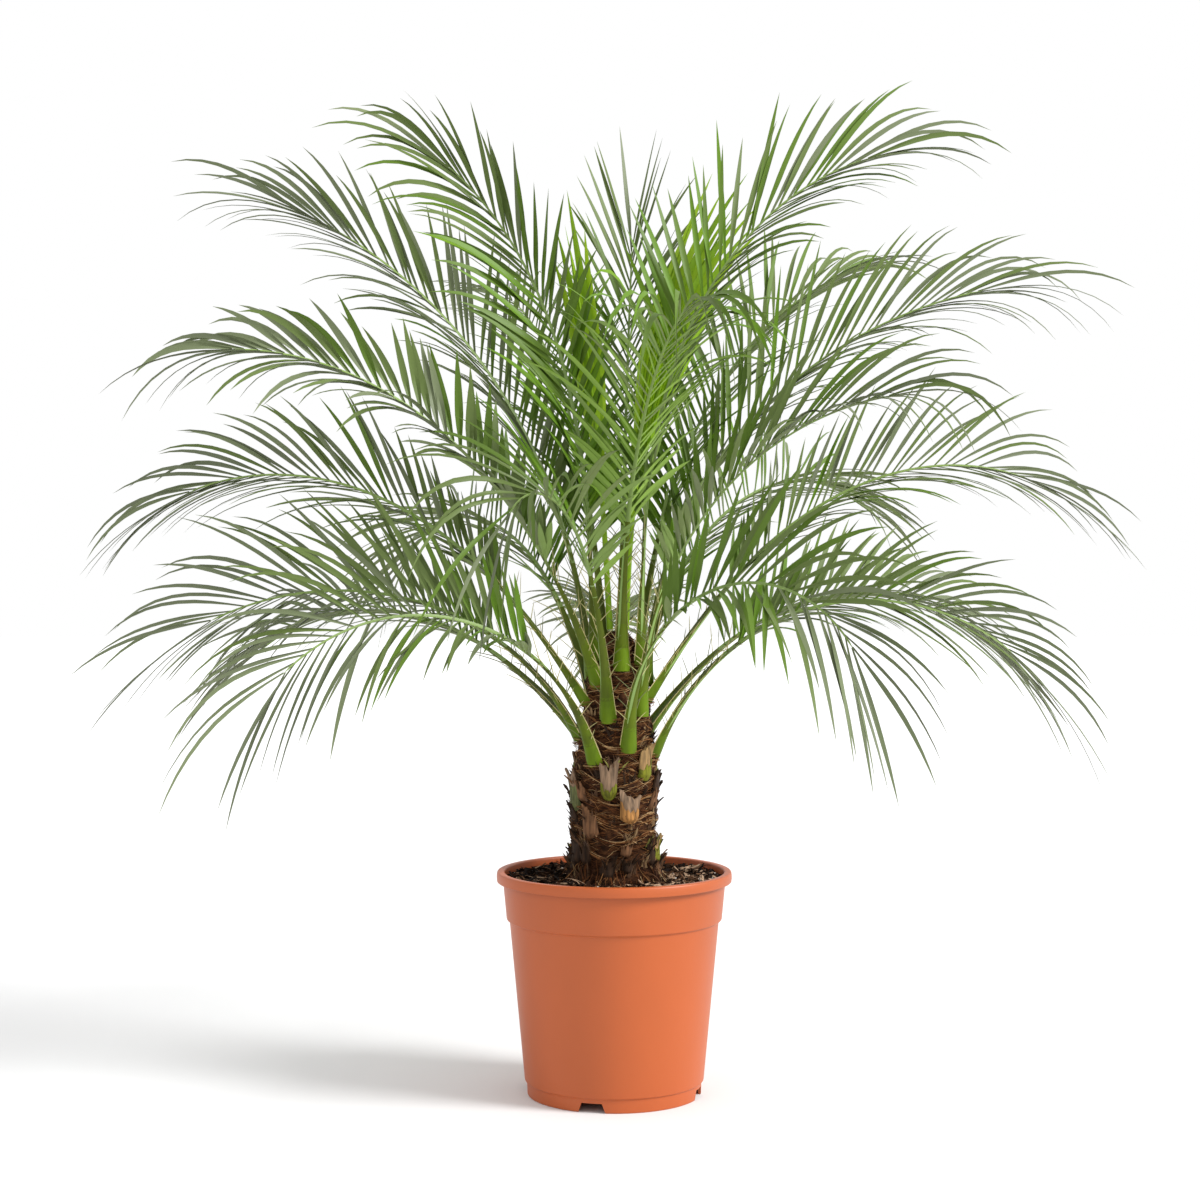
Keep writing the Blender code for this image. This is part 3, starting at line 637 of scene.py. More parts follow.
def make_soil_litter(dice):
    """Crumbs, bark flakes, pale fibres and white grains that lie on the soil."""
    looks = [plain(f"litter_{i}", colour, 0.9, 0.1) for i, colour in enumerate(SOIL_COLOURS)]
    heaps = [Heap(f"soil_litter_{i}", look, "potting_soil") for i, look in enumerate(looks)]
    for _ in range(2200):
        size = dice.uniform(0.0014, 0.0042)
        heap = heaps[dice.choices((0, 1, 2), (7, 4, 1.4))[0]]
        chip(heap, soil_spot(dice), (size, size * dice.uniform(0.6, 1), size * dice.uniform(0.5, 1)), dice, 0.6)
    for _ in range(620):
        length = dice.uniform(0.005, 0.019)
        spot = soil_spot(dice)
        # Fewer pale flakes on the left and behind: painted shade of the trunk, partly browner soil
        heap = heaps[dice.choices((0, 1, 2, 3), (3, 3, 3, 5) if is_outside_painted_shade(spot) else (6, 4, 1, 0.4))[0]]
        size = (length, length * dice.uniform(0.12, 0.30), dice.uniform(0.0006, 0.0018))
        chip(heap, spot + Vector((0, 0, 0.0014)), size, dice, 0.32)
    for _ in range(46):
        size = dice.uniform(0.0012, 0.0024)
        chip(heaps[4], soil_spot(dice) + Vector((0, 0, 0.0010)), (size, size, size), dice, 0.8)
    edge = soil_edge_radius()
    for _ in range(420):
        start = soil_spot(dice) + Vector((0, 0, dice.uniform(0, 0.002)))
        heading = Vector((dice.gauss(0, 1), dice.gauss(0, 1), dice.gauss(0.12, 0.22))).normalized()
        bend = Vector((dice.gauss(0, 0.5), dice.gauss(0, 0.5), -0.25))
        length = dice.uniform(0.006, 0.022)
        line = [start + (heading + bend * (i / 5)) * (length * i / 5) for i in range(6)]
        if max(point.xy.length for point in line) < edge:
            thread(heaps[dice.choices((1, 2, 3), (3, 3, 2))[0]], line, dice.uniform(0.0002, 0.0006))
    for heap in heaps:
        heap.piece()


# The trunk


def trunk_radius(z):
    for (z0, r0), (z1, r1) in zip(TRUNK_PROFILE, TRUNK_PROFILE[1:]):
        if z <= z1:
            return mix(r0, r1, max(0.0, z - z0) / (z1 - z0))
    return TRUNK_PROFILE[-1][1]


def trunk_axis(z):
    share = max(0.0, (z - TRUNK_FOOT) / (TRUNK_TOP - TRUNK_FOOT))
    return Vector((TRUNK_LEAN * share ** LEAN_LATE, 0, z))


def on_trunk(turn, z, out):
    """A point that stands out from the trunk's surface, at a turn in radians and a height."""
    radius = trunk_radius(z) + out
    return trunk_axis(z) + Vector((radius * math.cos(turn), radius * math.sin(turn), 0))


def hem_wave(turn):
    """How the hems of the leaf sheaths run round the trunk: a rising spiral that swings up and down."""
    return turn / math.tau + HEM_SWING * math.sin(HEM_WAVES * turn)


def sheath(turn, z):
    """How far the overlapping leaf sheaths stand out, most at the hem on top of each."""
    return SHEATH_STEP * ((z / SHEATH_HEIGHT + hem_wave(turn)) % 1)


def weave(turn, z):
    """The relief of the fibre mat: slanting cords on the sheaths, broken up by lumps."""
    around = Vector((math.cos(turn), math.sin(turn), 0))
    lumps = noise.noise(around * 2.6 + Vector((0, 0, z * 70)))
    cords = max(math.sin(26 * turn + 520 * z + 3 * lumps), math.sin(26 * turn - 430 * z - 2 * lumps))
    return sheath(turn, z) + 0.0004 * cords + 0.0026 * lumps - 0.0036


def make_trunk_core():
    rows, columns = 170, 132
    foot, top = SOIL_TOP - 0.008, TRUNK_TOP - 0.002
    points = []
    for row in range(rows):
        z = mix(foot, top, row / (rows - 1))
        for column in range(columns):
            turn = math.tau * column / columns
            points.append(on_trunk(turn, z, weave(turn, z)))
    faces = [tuple(reversed(range(columns))), tuple(range((rows - 1) * columns, rows * columns))]
    for row in range(rows - 1):
        start = row * columns
        for i in range(columns):
            j = (i + 1) % columns
            faces.append((start + i, start + j, start + columns + j, start + columns + i))
    look = textured("trunk_fibre", CORE_COLOURS, 120, (1, 1, 1.6), (0.85, 0.95), (0.9, 0.0015), 700, 0.1)
    heap = Heap("trunk_fibre_mat", look, "palm_trunk", 60)
    heap.add(points, faces)
    made = heap.piece()
    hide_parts("trunk")


def strand(heap, dice, turn, z, out, reach, rise, flare, radius):
    """A fibre that starts on the trunk and runs round it, up it and out from it, a little wavy."""
    bow = dice.gauss(0, 0.06) * abs(reach)
    waves = dice.uniform(1.5, 3.5)
    sway = dice.uniform(0.0002, 0.0009)
    line = []
    for i in range(STRAND_POINTS):
        share = i / (STRAND_POINTS - 1)
        at = z + rise * share + bow * math.sin(math.pi * share) + sway * math.sin(math.tau * waves * share)
        around = turn + reach * share / trunk_radius(at)
        line.append(on_trunk(around, at, out + sheath(around, at) + flare * share ** 1.6))
    thread(heap, line, radius)


def hem_strand(heap, dice, radius):
    """A fibre along the upper hem of one sheath."""
    turn = dice.uniform(0, math.tau)
    hems = [count for count in range(40) if 0.218 < (count - hem_wave(turn)) * SHEATH_HEIGHT < 0.400]
    count = dice.choice(hems)
    reach = dice.uniform(0.010, 0.030)
    below, drift, out = dice.uniform(0.0002, 0.0024), dice.gauss(0, 0.0012), dice.uniform(-0.0010, 0.0008)
    line = []
    for i in range(STRAND_POINTS):
        share = i / (STRAND_POINTS - 1)
        around = turn + reach * share / trunk_radius(0.3)
        at = (count - hem_wave(around)) * SHEATH_HEIGHT - below + drift * share
        line.append(on_trunk(around, at, out + SHEATH_STEP - 0.0022))
    thread(heap, line, radius)


def cuff_strand(heap, dice, frond, radius):
    """A fibre of the sheath that runs across the foot of a living stalk."""
    turn = math.radians(frond.foot_turn) + dice.gauss(0, 0.05)
    z = frond.foot_z - dice.uniform(0.003, 0.0095)
    half, bulge, sway = dice.uniform(0.010, 0.016), dice.uniform(0.0055, 0.0080), dice.gauss(0, 0.0015)
    line = []
    for i in range(STRAND_POINTS):
        x = 2 * i / (STRAND_POINTS - 1) - 1
        line.append(on_trunk(turn + x * half / trunk_radius(z), z + sway * x, bulge * (1 - x * x) - 0.002))
    thread(heap, line, radius)


def make_fibres(dice):
    """The net of fibre round the trunk, the hems of the leaf sheaths, and loose ends that stand off it."""
    looks = [plain(f"fibre_{i}", colour, 0.85, 0.15) for i, colour in enumerate(FIBRE_COLOURS)]
    heaps = [Heap(f"trunk_fibres_{i}", look, "palm_trunk") for i, look in enumerate(looks)]

    def pick(*weights):
        return heaps[dice.choices(range(4), weights)[0]]

    for _ in range(NET_FIBRES):
        z = dice.uniform(SOIL_TOP, 0.404)
        turn = dice.uniform(0, math.tau)
        around = Vector((math.cos(turn), math.sin(turn), 0))
        field = noise.noise(around * 1.3 + Vector((0, 0, z * 30)))
        pale = noise.noise(around * 2.1 + Vector((0, 0, z * 45 + 9)))
        reach = dice.choice((-1, 1)) * dice.uniform(0.010, 0.034)
        slope = 0.7 * field + dice.choice((-0.30, 0.20)) + dice.gauss(0, 0.10)
        low = ease((0.240 - z) / 0.040)
        light = (1 - low) * (1 + 1.5 * max(0.0, pale))
        heap = pick(3 - 4 * pale + 6 * low, 5, 3.6 * light, 1.0 * light)
        out, radius = dice.uniform(-0.0038, -0.0016), dice.uniform(0.00012, 0.00032)
        strand(heap, dice, turn, z, out, reach, slope * reach, 0.0, radius)
    for _ in range(HEM_FIBRES):
        hem_strand(pick(2, 4, 5, 3), dice, dice.uniform(0.00018, 0.00042))
    for frond in FRONDS:
        for _ in range(CUFF_FIBRES):
            cuff_strand(pick(3, 5, 4, 1), dice, frond, dice.uniform(0.00018, 0.00036))
    for _ in range(LOOSE_FIBRES):
        z, turn = dice.uniform(0.200, 0.400), dice.uniform(0, math.tau)
        rise, flare = dice.uniform(-0.005, 0.012), dice.uniform(0.002, 0.008)
        radius = dice.uniform(0.00015, 0.0003)
        strand(pick(6, 4, 1.5, 0.5), dice, turn, z, -0.003, dice.gauss(0, 0.006), rise, flare, radius)
    for _ in range(FOOT_FIBRES):
        z, turn = dice.uniform(0.190, 0.216), dice.uniform(0, math.tau)
        rise = SOIL_TOP - z + dice.uniform(-0.001, 0.003)
        flare, radius = dice.uniform(0.0, 0.012), dice.uniform(0.0002, 0.0005)
        strand(pick(6, 4, 1.5, 0.6), dice, turn, z, -0.002, dice.gauss(0, 0.009), rise, flare, radius)
    for heap in heaps:
        heap.piece()


def splinter(heap, dice, turn, z, length, lean, radius, out=-0.002):
    """A stiff sliver of an old leaf base that leans out from the trunk."""
    lean = math.radians(lean)
    sideways = dice.gauss(0, 0.25) * length
    line = []
    for i in range(4):
        share = i / 3
        at = z + length * math.cos(lean) * share
        away = out + length * math.sin(lean) * share ** 1.3
        line.append(on_trunk(turn + sideways * share / trunk_radius(at), at, away))
    thread(heap, line, radius, corners=4, taper=0.55)


def make_splinters(dice):
    """Tufts of slivers where the oldest leaves have rotted away, most of them low on the trunk."""
    looks = [plain(f"splinter_{i}", colour, 0.8, 0.15) for i, colour in enumerate(SPLINTER_COLOURS)]
    heaps = [Heap(f"trunk_splinters_{i}", look, "palm_trunk") for i, look in enumerate(looks)]
    for _ in range(SPLINTER_TUFTS):
        turn = dice.uniform(0, math.tau)
        low = dice.random() ** 1.3
        z = mix(0.192, 0.345, low)
        main = dice.choices(range(4), (6, 5, 3, 1.2 if z < 0.225 else 0.2))[0]
        lean = dice.uniform(12, 42)
        size = dice.uniform(0.007, 0.016) * (1.2 - 0.4 * low)
        for _ in range(dice.randint(4, 9)):
            heap = heaps[main] if dice.random() < 0.7 else heaps[dice.choice((0, 1))]
            spot = turn + dice.gauss(0, 0.0026) / trunk_radius(z)
            foot, length = z + dice.gauss(0, 0.0015), size * dice.uniform(0.6, 1.2)
            splinter(heap, dice, spot, foot, length, lean + dice.gauss(0, 7), dice.uniform(0.0006, 0.0017))
    for _ in range(16):
        spot = math.radians(-20) + dice.gauss(0, 0.09)
        foot, length = 0.206 + dice.gauss(0, 0.004), dice.uniform(0.014, 0.026)
        splinter(heaps[dice.choice((2, 3, 3))], dice, spot, foot, length, dice.uniform(6, 20), 0.0010)
    for heap in heaps:
        heap.piece()


def grid_faces(rows, columns):
    """Faces of a closed plate: a front grid of points, then a back grid of as many."""
    faces = []
    back = rows * columns
    for row in range(rows - 1):
        for column in range(columns - 1):
            a = row * columns + column
            faces.append((a, a + 1, a + columns + 1, a + columns))
            faces.append((back + a, back + a + columns, back + a + columns + 1, back + a + 1))
    edge = list(range(columns))
    edge += [row * columns + columns - 1 for row in range(1, rows)]
    edge += [(rows - 1) * columns + column for column in range(columns - 2, -1, -1)]
    edge += [row * columns for row in range(rows - 2, 0, -1)]
    for a, b in zip(edge, edge[1:] + edge[:1]):
        faces.append((b, a, back + a, back + b))
    return faces


def coat(heap, husk, low, high, proud, torn, dice):
    """Part of a cut leaf base between two shares of its height: rounded below, with a torn upper edge."""
    fray = [dice.uniform(-1, 0.4) * torn for _ in range(HUSK_COLUMNS)]
    front, back = [], []
    for row in range(HUSK_ROWS):
        along = row / (HUSK_ROWS - 1)
        for column in range(HUSK_COLUMNS):
            x = 2 * column / (HUSK_COLUMNS - 1) - 1
            edge = fray[column] + husk.ears * (abs(x) - 0.6) * high + husk.slant * x
            share = mix(low, high, along) + edge * along ** 3
            z = husk.z + husk.height * (share + HUSK_ROUND * x * x * (1 - share))
            half = husk.width / 2 * (1.02 - 0.14 * share + husk.flare * share ** 2)
            out = husk.height * share ** 1.5 * math.tan(math.radians(husk.lean))
            out += husk.bulge * (1 - x * x) * (1 - 1.15 * share ** 1.5)
            out += HUSK_CURL * share ** 3 * x * x - HUSK_TUCK * max(0.0, 1 - share / 0.15)
            out += 0.0003 * noise.noise(Vector((x * 6, share * 1.5, husk.turn))) + proud
            turn = math.radians(husk.turn) + x * half / trunk_radius(z)
            front.append(on_trunk(turn, z, out + HUSK_SKIN))
            back.append(on_trunk(turn, z, out - HUSK_SKIN))
    heap.add(front + back, grid_faces(HUSK_ROWS, HUSK_COLUMNS))


def make_husks(dice):
    """The bases of cut leaves: what is still green below, and dry, split husk above."""
    heaps = {}
    for name, colour in HUSK_COLOURS.items():
        shades = [tuple(channel * share for channel in colour) for share in (0.62, 0.92, 1.12)]
        look = textured(name, shades, 420, (1, 1, 0.12), (0.65, 0.85), (0.6, 0.0008), 900, 0.15)
        heaps[name] = Heap(f"husks_{name}", look, "cut_leaf_base", 50)
    for husk in HUSKS:
        if husk.fresh > 0:
            coat(heaps[husk.fresh_look], husk, 0.0, husk.fresh + 0.10, 0.0006, 0.18, dice)
        coat(heaps[husk.dry_look], husk, husk.fresh * 0.6, 1.0, 0.0, husk.ragged, dice)
        for _ in range(HUSK_HAIRS):
            x = dice.uniform(-1, 1)
            spot = math.radians(husk.turn) + x * husk.width / 2 / trunk_radius(husk.z)
            z, length = husk.z + husk.height * dice.uniform(0.45, 0.75), husk.height * dice.uniform(0.25, 0.5)
            out = husk.height * math.tan(math.radians(husk.lean)) * 0.5
            splinter(heaps[husk.dry_look], dice, spot, z, length, husk.lean + 6, 0.0005, out)
    for i in range(SIDE_STUBS + FOOT_STUBS):
        if i < SIDE_STUBS:
            turn, z = dice.choice((0, 90, 180)) + dice.gauss(0, 26), dice.uniform(0.192, 0.272)
        else:
            turn, z = dice.uniform(-180, 180), dice.uniform(0.189, 0.216)
        width, height, lean = dice.uniform(0.010, 0.017), dice.uniform(0.012, 0.021), dice.uniform(8, 24)
        look = dice.choices(("dry_dark", "dry_pink"), (4, 1))[0]
        flare, slant = dice.uniform(-0.2, 0.4), dice.uniform(-0.35, 0.35)
        stub = Husk(turn, z, width, height, lean, 0, "", look, 0.5, 0.0030, flare, 0.1, slant)
        coat(heaps[look], stub, 0.0, 1.0, -0.0015, stub.ragged, dice)
    bases = [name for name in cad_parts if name.startswith("leaf_base")]
    made = [heap.piece() for heap in heaps.values()]
    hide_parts(*bases)


# The fronds


class Rib:
    """The course of one frond's rib: points, headings and blade normals at even steps from its foot."""

    def __init__(self, foot, foot_turn, turn, length, rise, fall, late, roll):
        self.length = length
        self.points = [foot]
        self.headings = []
        self.normals = []
        swing = (turn - foot_turn + 180) % 360 - 180
        for i in range(RIB_STEPS + 1):
            share = i / RIB_STEPS
            up = math.radians(rise - fall * share ** late)
            around = math.radians(foot_turn + swing * ease(share / AIM_BY))
            flat = Vector((math.cos(around), math.sin(around), 0))
            heading = flat * math.cos(up) + Vector((0, 0, math.sin(up)))
            normal = Vector((0, 0, math.cos(up))) - flat * math.sin(up)
            spin = Matrix.Rotation(math.radians(roll) * ease(share / ROLL_BY), 3, heading)
            self.headings.append(heading)
            self.normals.append(spin @ normal)
            self.points.append(self.points[-1] + heading * (length / RIB_STEPS))

    def at(self, distance):
        """Point, heading, blade normal and rightward direction at a distance from the foot."""
        place = min(max(distance / self.length, 0.0), 1.0) * RIB_STEPS
        i = min(int(place), RIB_STEPS - 1)
        share = place - i
        point = self.points[i].lerp(self.points[i + 1], share)
        heading = self.headings[i].lerp(self.headings[i + 1], share).normalized()
        normal = self.normals[i].lerp(self.normals[i + 1], share)
        normal = (normal - heading * normal.dot(heading)).normalized()
        return point, heading, normal, heading.cross(normal)


def rib_width(rib, distance):
    """A broad foot that narrows quickly, then a slim rib down to the frond's tip."""
    foot = (RIB_FOOT_WIDTH - RIB_BLADE_WIDTH) * math.exp(-max(0.0, distance) / RIB_NARROWING)
    return foot + mix(RIB_BLADE_WIDTH, RIB_TIP_WIDTH, max(0.0, distance) / rib.length)


def frond_rib(frond):
    turn, rise = math.radians(frond.foot_turn), math.radians(frond.rise)
    out = Vector((math.cos(turn), math.sin(turn), 0))
    face = RIB_FACE_SHARE * RIB_FOOT_WIDTH * RIB_DEPTH_SHARE
    reach = trunk_radius(frond.foot_z + face * math.cos(rise))
    foot = trunk_axis(frond.foot_z) + out * (reach + face * math.sin(rise))
    course = (frond.foot_turn, frond.turn, frond.length, frond.rise, frond.fall, frond.late, frond.roll)
    return Rib(foot, *course)


def stalk(heap, rib, start, end, stations, section=RIB_SECTION, pointed=False):
    """A strip of the rib with the given section, between two distances from its foot."""
    middle = sum((Vector(corner) for corner in section), Vector((0, 0))) / len(section)
    points = []
    for i in range(stations):
        distance = mix(start, end, i / stations)
        point, heading, normal, right = rib.at(distance)
        if distance < 0:
            point = point + heading * distance
        half = rib_width(rib, distance) / 2
        depth = max(2 * half * RIB_DEPTH_SHARE, RIB_LEAST_DEPTH)
        face = point + normal * RIB_FACE_SHARE * depth
        size = ease(2.5 * i / stations) if pointed else 1.0
        corners = [middle + (Vector(corner) - middle) * max(size, 0.05) for corner in section]
        points += [face + right * half * x + normal * depth * y for x, y in corners]
    heap.add(points + [rib.at(end)[0]], tube_faces(stations, len(section)))


def leaflet_line(root, direction, length, sag, steps):
    """The middle line of a leaflet, which sags more and more towards its tip."""
    line = [root]
    for i in range(steps):
        along = (i + 0.5) / steps
        heading = (direction + Vector((0, 0, -sag * along ** 2))).normalized()
        line.append(line[-1] + heading * (length / steps))
    return line


def blade_taper(share):
    """How wide a leaflet is along its length, from its narrow root to its long thin point."""
    return (0.42 + 0.58 * ease(share / 0.35)) * (1 - share ** 3)


def blade(face_heap, back_heap, line, up, width, twist):
    """A leaflet folded along its middle, as two thin skins: its upper face and its paler back."""
    rings = len(line) - 1
    faces = tube_faces(rings, 4)
    skins = [[], []]
    for i, (place, heading) in enumerate(zip(line[:-1], headings_of(line))):
        share = i / rings
        normal = Matrix.Rotation(twist * share, 3, heading) @ (up - heading * up.dot(heading)).normalized()
        side = heading.cross(normal)
        fold = math.radians(mix(FOLD_AT_ROOT, FOLD_AT_TIP, ease(share / 0.6)))
        half = width / 2 * blade_taper(share)
        across = side * half * math.cos(fold)
        rise = normal * half * math.sin(fold)
        thick = normal * LEAFLET_SKIN
        for skin, drop in zip(skins, (0.0, LEAFLET_SKIN + SKIN_GAP)):
            middle = place - normal * drop
            skin += [middle - across + rise, middle + thick, middle + across + rise, middle]
    for skin, heap, drop in zip(skins, (face_heap, back_heap), (0.0, SKIN_GAP)):
        heap.add(skin + [line[-1] - up * drop], faces)


def leaflet_start(rib, distance, share, side, open_by, swing, lift):
    """Root point, first direction and upper normal of one leaflet."""
    point, heading, normal, right = rib.at(distance)
    away = math.radians(mix(ANGLE_AT_STALK, ANGLE_AT_TIP, share ** ANGLE_LATE) * open_by + swing)
    raised = math.radians(mix(LIFT_AT_STALK, LIFT_AT_TIP, share) + lift)
    outward = right * side * math.cos(raised) + normal * math.sin(raised)
    direction = heading * math.cos(away) + outward * math.sin(away)
    across = (heading - direction * heading.dot(direction)).normalized()
    across = Matrix.Rotation(-side * math.radians(LEAFLET_TILT), 3, direction) @ across
    root = point + right * side * rib_width(rib, distance) * 0.4
    return root, direction, direction.cross(across) * side, (right * side).z > UPPER_SIDE


def grow_leaflets(frond, rib, heaps, dice):
    """Both ranks of leaflets on one frond, closer together towards the stalk."""
    face_heaps, back_heaps = heaps
    count = round((rib.length - STALK_LENGTH) / LEAFLET_SPACING)
    first, last = STALK_LENGTH + 0.004, rib.length - 0.002
    high = (frond.foot_z - LOW_FROND_Z) / (HIGH_FROND_Z - LOW_FROND_Z)
    short_until = mix(SHORT_UNTIL_ON_LOW, SHORT_UNTIL_ON_HIGH, ease(high))
    for i in range(count):
        share = (i / (count - 1)) ** CROWDED_FOOT
        for side in (-1, 1):
            distance = mix(first, last, share) + dice.uniform(-0.0028, 0.0028) + side * 0.0015
            swing, lift = dice.gauss(0, 4.0), dice.gauss(0, 7.0)
            start = leaflet_start(rib, distance, share, side, frond.open, swing, lift)
            root, direction, up, is_upper = start
            if is_upper and share < frond.bare:
                continue
            short = mix(SHORTEST_LEAFLET, 1.0, ease(share / short_until))
            short *= mix(1.0, LONGER_AT_TIP, share ** 2)
            length = LEAFLET_LENGTH * frond.long * short * dice.uniform(0.88, 1.08)
            length *= frond.upper if is_upper else 1.0
            sag = mix(SAG_AT_STALK, SAG_AT_TIP, share) * mix(1.0, frond.limp, share ** 2)
            sag *= direction.xy.length * dice.uniform(0.6, 1.4)
            line = leaflet_line(root, direction, length, sag, LEAFLET_RINGS)
            tone = round(frond.dark + GREYER_OUT * (share - 0.5) + dice.gauss(0, TONE_SPREAD))
            tone = min(len(LEAF_TONES) - 1, max(0, tone))
            width = LEAFLET_WIDTH * frond.wide * mix(1.0, WIDTH_AT_TIP, share) * dice.uniform(0.85, 1.1)
            blade(face_heaps[tone], back_heaps[tone], line, up, width, dice.gauss(0, 0.35))


def grow_spines(rib, heaps, dice):
    """Stiff spines along both edges of the stalk, longer further up."""
    count = int((STALK_LENGTH - SPINE_FROM) / SPINE_SPACING)
    for i in range(count):
        for side in (-1, 1):
            distance = SPINE_FROM + (i + dice.uniform(-0.3, 0.3)) * SPINE_SPACING
            share = i / count
            point, heading, normal, right = rib.at(distance)
            away = math.radians(SPINE_ANGLE + dice.gauss(0, 9))
            raised = math.radians(dice.gauss(25, 14))
            outward = right * side * math.cos(raised) + normal * math.sin(raised)
            direction = heading * math.cos(away) + outward * math.sin(away)
            length = mix(SPINE_SHORTEST, SPINE_LONGEST, share) * dice.uniform(0.7, 1.15)
            root = point + right * side * rib_width(rib, distance) * 0.42
            line = leaflet_line(root, direction, length, 0.15, 4)
            thread(dice.choice(heaps), line, SPINE_RADIUS, corners=4, taper=0.45)


def stalk_margins(heap, rib):
    """The pale, dry edges of the stalk's foot."""
    for side in (-1, 1):
        line = []
        for i in range(9):
            distance = mix(-0.002, 0.075, i / 8)
            point, _, normal, right = rib.at(distance)
            half = rib_width(rib, distance) / 2
            line.append(point + right * side * half + normal * RIB_FACE_SHARE * half * 2 * RIB_DEPTH_SHARE)
        thread(heap, line, 0.0006, corners=4, taper=0.8)


def make_fronds(dice):
    """Leaflets, ribs, stalks and spines of every frond, each kind and tone joined apart."""
    face_looks = [plain(f"leaf_face_{i}", colour, 0.46, 0.22) for i, colour in enumerate(LEAF_TONES)]
    back_looks = [plain(f"leaf_back_{i}", colour, 0.62, 0.12) for i, colour in enumerate(BACK_TONES)]
    faces = [Heap(f"leaflet_faces_{i}", look, "frond_leaf", 30) for i, look in enumerate(face_looks)]
    backs = [Heap(f"leaflet_backs_{i}", look, "frond_leaf", 30) for i, look in enumerate(back_looks)]
    stalks = []
    for i, colour in enumerate(STALK_COLOURS):
        shades = [tuple(channel * share for channel in colour) for share in (0.82, 1.0, 1.1)]
        look = textured(f"stalk_green_{i}", shades, 60, (1, 1, 0.3), (0.45, 0.60), (0.15, 0.0003), 500, 0.15)
        stalks.append(Heap(f"stalks_{i}", look, "frond_leaf", 40))
    # A pale strip along each stalk's keel, as painted highlight
    painted_highlights = Heap("stalk_painted_highlights", plain("stalk_painted_highlight", PAINTED_HIGHLIGHT_COLOUR, 0.5, 0.3), "frond_leaf", 40)
    ribs = Heap("ribs", plain("rib_green", RIB_COLOUR, 0.5), "frond_leaf", 40)
    margins = Heap("stalk_margins", plain("dry_margin", MARGIN_COLOUR, 0.7, 0.3), "frond_leaf", 50)
    spines = [
        Heap(f"spines_{i}", plain(f"spine_{i}", colour, 0.6, 0.3), "frond_leaf")
        for i, colour in enumerate(SPINE_COLOURS)
    ]
    for frond in FRONDS:
        rib = frond_rib(frond)
        grow_leaflets(frond, rib, (faces, backs), dice)
        grow_spines(rib, spines, dice)
        for heap, start, end in zip(stalks, (-RIB_SUNK, 0.014, 0.036), (0.020, 0.044, STALK_LENGTH + 0.02)):
            stalk(heap, rib, start, end, 10)
        # Each stalk gets its pale strip of painted highlight
        stalk(painted_highlights, rib, 0.002, 0.12, 20, PAINTED_HIGHLIGHT_SECTION, True)
        stalk(ribs, rib, STALK_LENGTH - 0.02, rib.length, RIB_STATIONS)
        stalk_margins(margins, rib)
    nodes = [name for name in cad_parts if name.startswith("frond")]
    made = [heap.piece() for heap in stalks + [painted_highlights, ribs, margins] + faces + backs + spines]
    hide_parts(*nodes)


# The spear leaves


def spear_leaflet(heap, rib, row, start, reach):
    """One long leaflet of a young leaf, pleated against its neighbours and splayed towards its tip."""
    line = []
    for i in range(SPEAR_STEPS + 1):
        share = i / SPEAR_STEPS
        point, heading, normal, right = rib.at(mix(start, min(reach, rib.length), share))
        beyond = max(0.0, reach - rib.length) * share
        spread = SPEAR_PITCH * mix(0.35, 1.0, ease(share * 2)) * (1 + SPEAR_SPLAY * share ** 4)
        line.append(point + heading * beyond + right * row * spread)
    _, heading, normal, _ = rib.at(mix(start, rib.length, 0.7))
    lean = SPEAR_PLEAT * (1 if round(row * 2) % 4 == 1 else -1)
    up = Matrix.Rotation(math.radians(lean), 3, heading) @ normal
    blade(heap, heap, line, up, SPEAR_LEAFLET_WIDTH, 0.0)


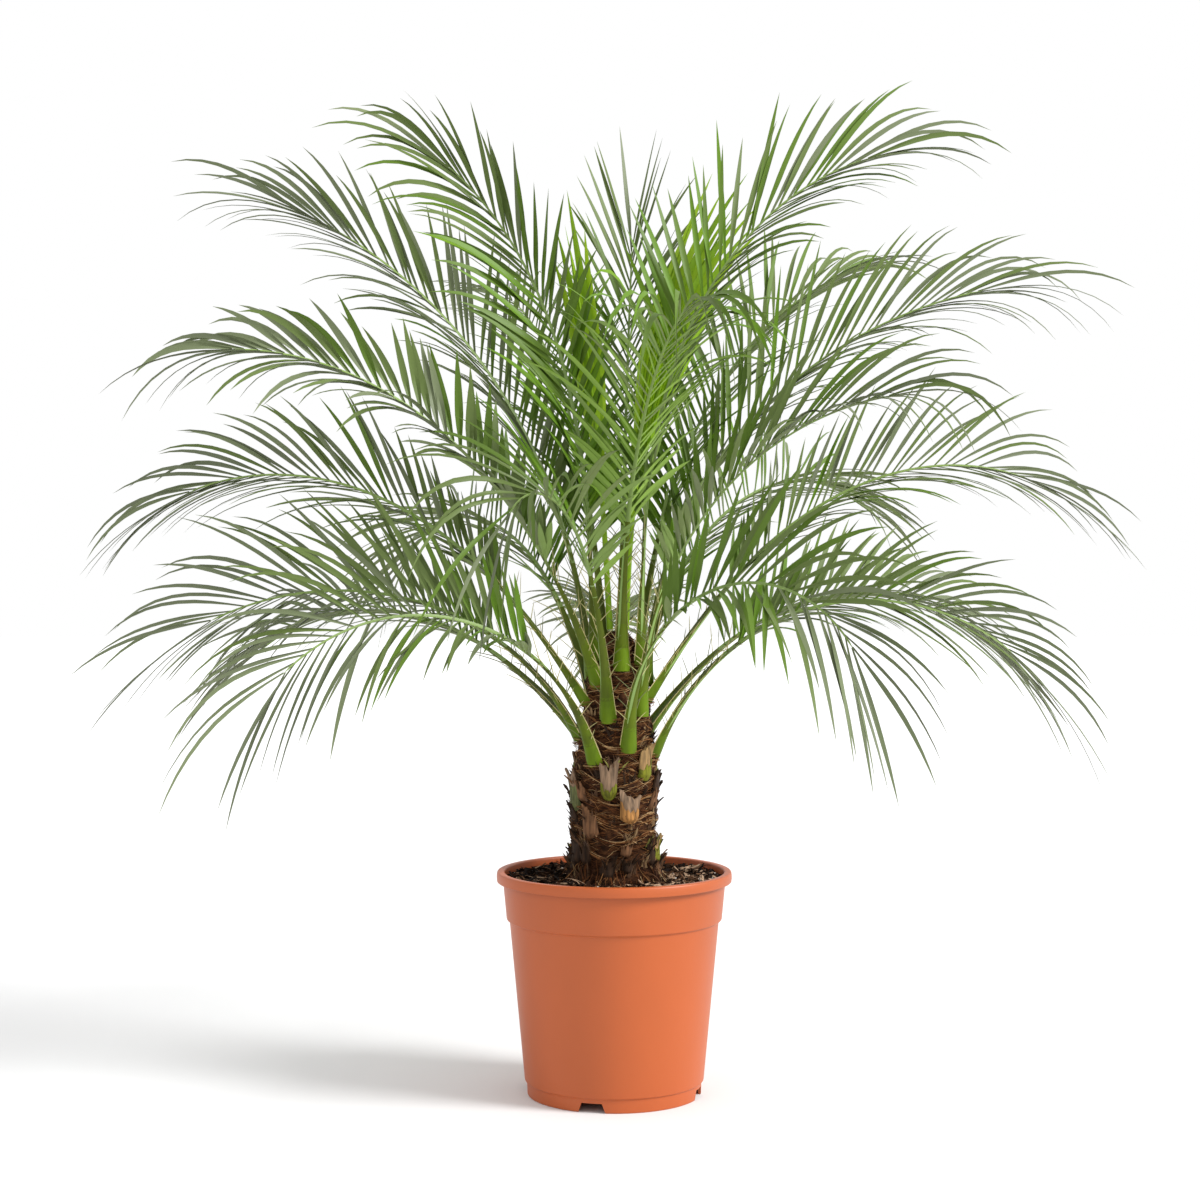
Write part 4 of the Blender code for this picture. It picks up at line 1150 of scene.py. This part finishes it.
def make_spears(dice):
    """Unopened leaves: a slim stalk, and the leaflets still side by side above it."""
    heaps = [
        Heap(f"spear_leaves_{i}", plain(f"spear_green_{i}", colour, 0.42, 0.25), "spear_leaf", 30)
        for i, colour in enumerate(SPEAR_COLOURS)
    ]
    for spear in SPEARS:
        out = Vector((math.cos(math.radians(spear.turn)), math.sin(math.radians(spear.turn)), 0))
        foot = trunk_axis(TRUNK_TOP) + out * SPEAR_FOOT_OFFSET
        course = (spear.turn, spear.turn, spear.length, spear.rise, spear.fall, SPEAR_LATE, spear.roll)
        rib = Rib(foot, *course)
        line = [rib.at(rib.length * i / 12)[0] for i in range(13)]
        thread(heaps[1], line, 0.003, corners=8, taper=0.8)
        for i in range(spear.leaflets):
            row = i - (spear.leaflets - 1) / 2
            start = SPEAR_STALK + abs(row) * 0.006 + dice.uniform(0, 0.03)
            reach = rib.length * dice.uniform(0.94, 1.10) - abs(row) * 0.006
            spear_leaflet(heaps[i % 2], rib, row, start, reach)
    made = [heap.piece() for heap in heaps]
    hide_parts(*[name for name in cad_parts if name.startswith("spear")])


# The room


def make_floor():
    """A pale floor, far larger than the view."""
    mesh = bpy.data.meshes.new("floor")
    half = 9.0
    corners = [(-half, -half, 0), (half, -half, 0), (half, half, 0), (-half, half, 0)]
    mesh.from_pydata(corners, [], [(0, 1, 2, 3)])
    floor = bpy.data.objects.new("floor", mesh)
    bpy.context.scene.collection.objects.link(floor)
    mesh.materials.append(plain("pale_floor", FLOOR_COLOUR, 0.95, 0.0))


def make_room():
    """A pale floor and an even white surround, with soft light from the right and a little in front."""
    make_floor()
    world = bpy.data.worlds.new("surround")
    world.use_nodes = True
    surround = world.node_tree.nodes["Background"]
    surround.inputs["Color"].default_value = (1.0, 1.0, 1.0, 1.0)
    surround.inputs["Strength"].default_value = 1.0
    bpy.context.scene.world = world
    light = bpy.data.lights.new("key", "SUN")
    light.energy = KEY_STRENGTH
    light.angle = math.radians(KEY_SOFTNESS)
    key = bpy.data.objects.new("key", light)
    key.rotation_euler = Vector(KEY_FROM).to_track_quat("Z", "Y").to_euler()
    bpy.context.scene.collection.objects.link(key)
    bpy.context.scene.view_settings.view_transform = "Standard"


def make_camera():
    lens = bpy.data.cameras.new("camera")
    lens.lens = LENS_MM
    lens.sensor_width = SENSOR_MM
    lens.clip_end = 50
    camera = bpy.data.objects.new("camera", lens)
    camera.location = CAMERA_PLACE
    camera.rotation_euler = (math.radians(90 - CAMERA_TILT), 0, 0)
    bpy.context.scene.collection.objects.link(camera)
    bpy.context.scene.camera = camera


make_camera()
make_room()
make_pot()
make_soil_body()
make_soil_litter(random.Random(SEED))
make_trunk_core()
make_fibres(random.Random(SEED + 1))
make_husks(random.Random(SEED + 2))
make_splinters(random.Random(SEED + 5))
make_fronds(random.Random(SEED + 3))
make_spears(random.Random(SEED + 4))
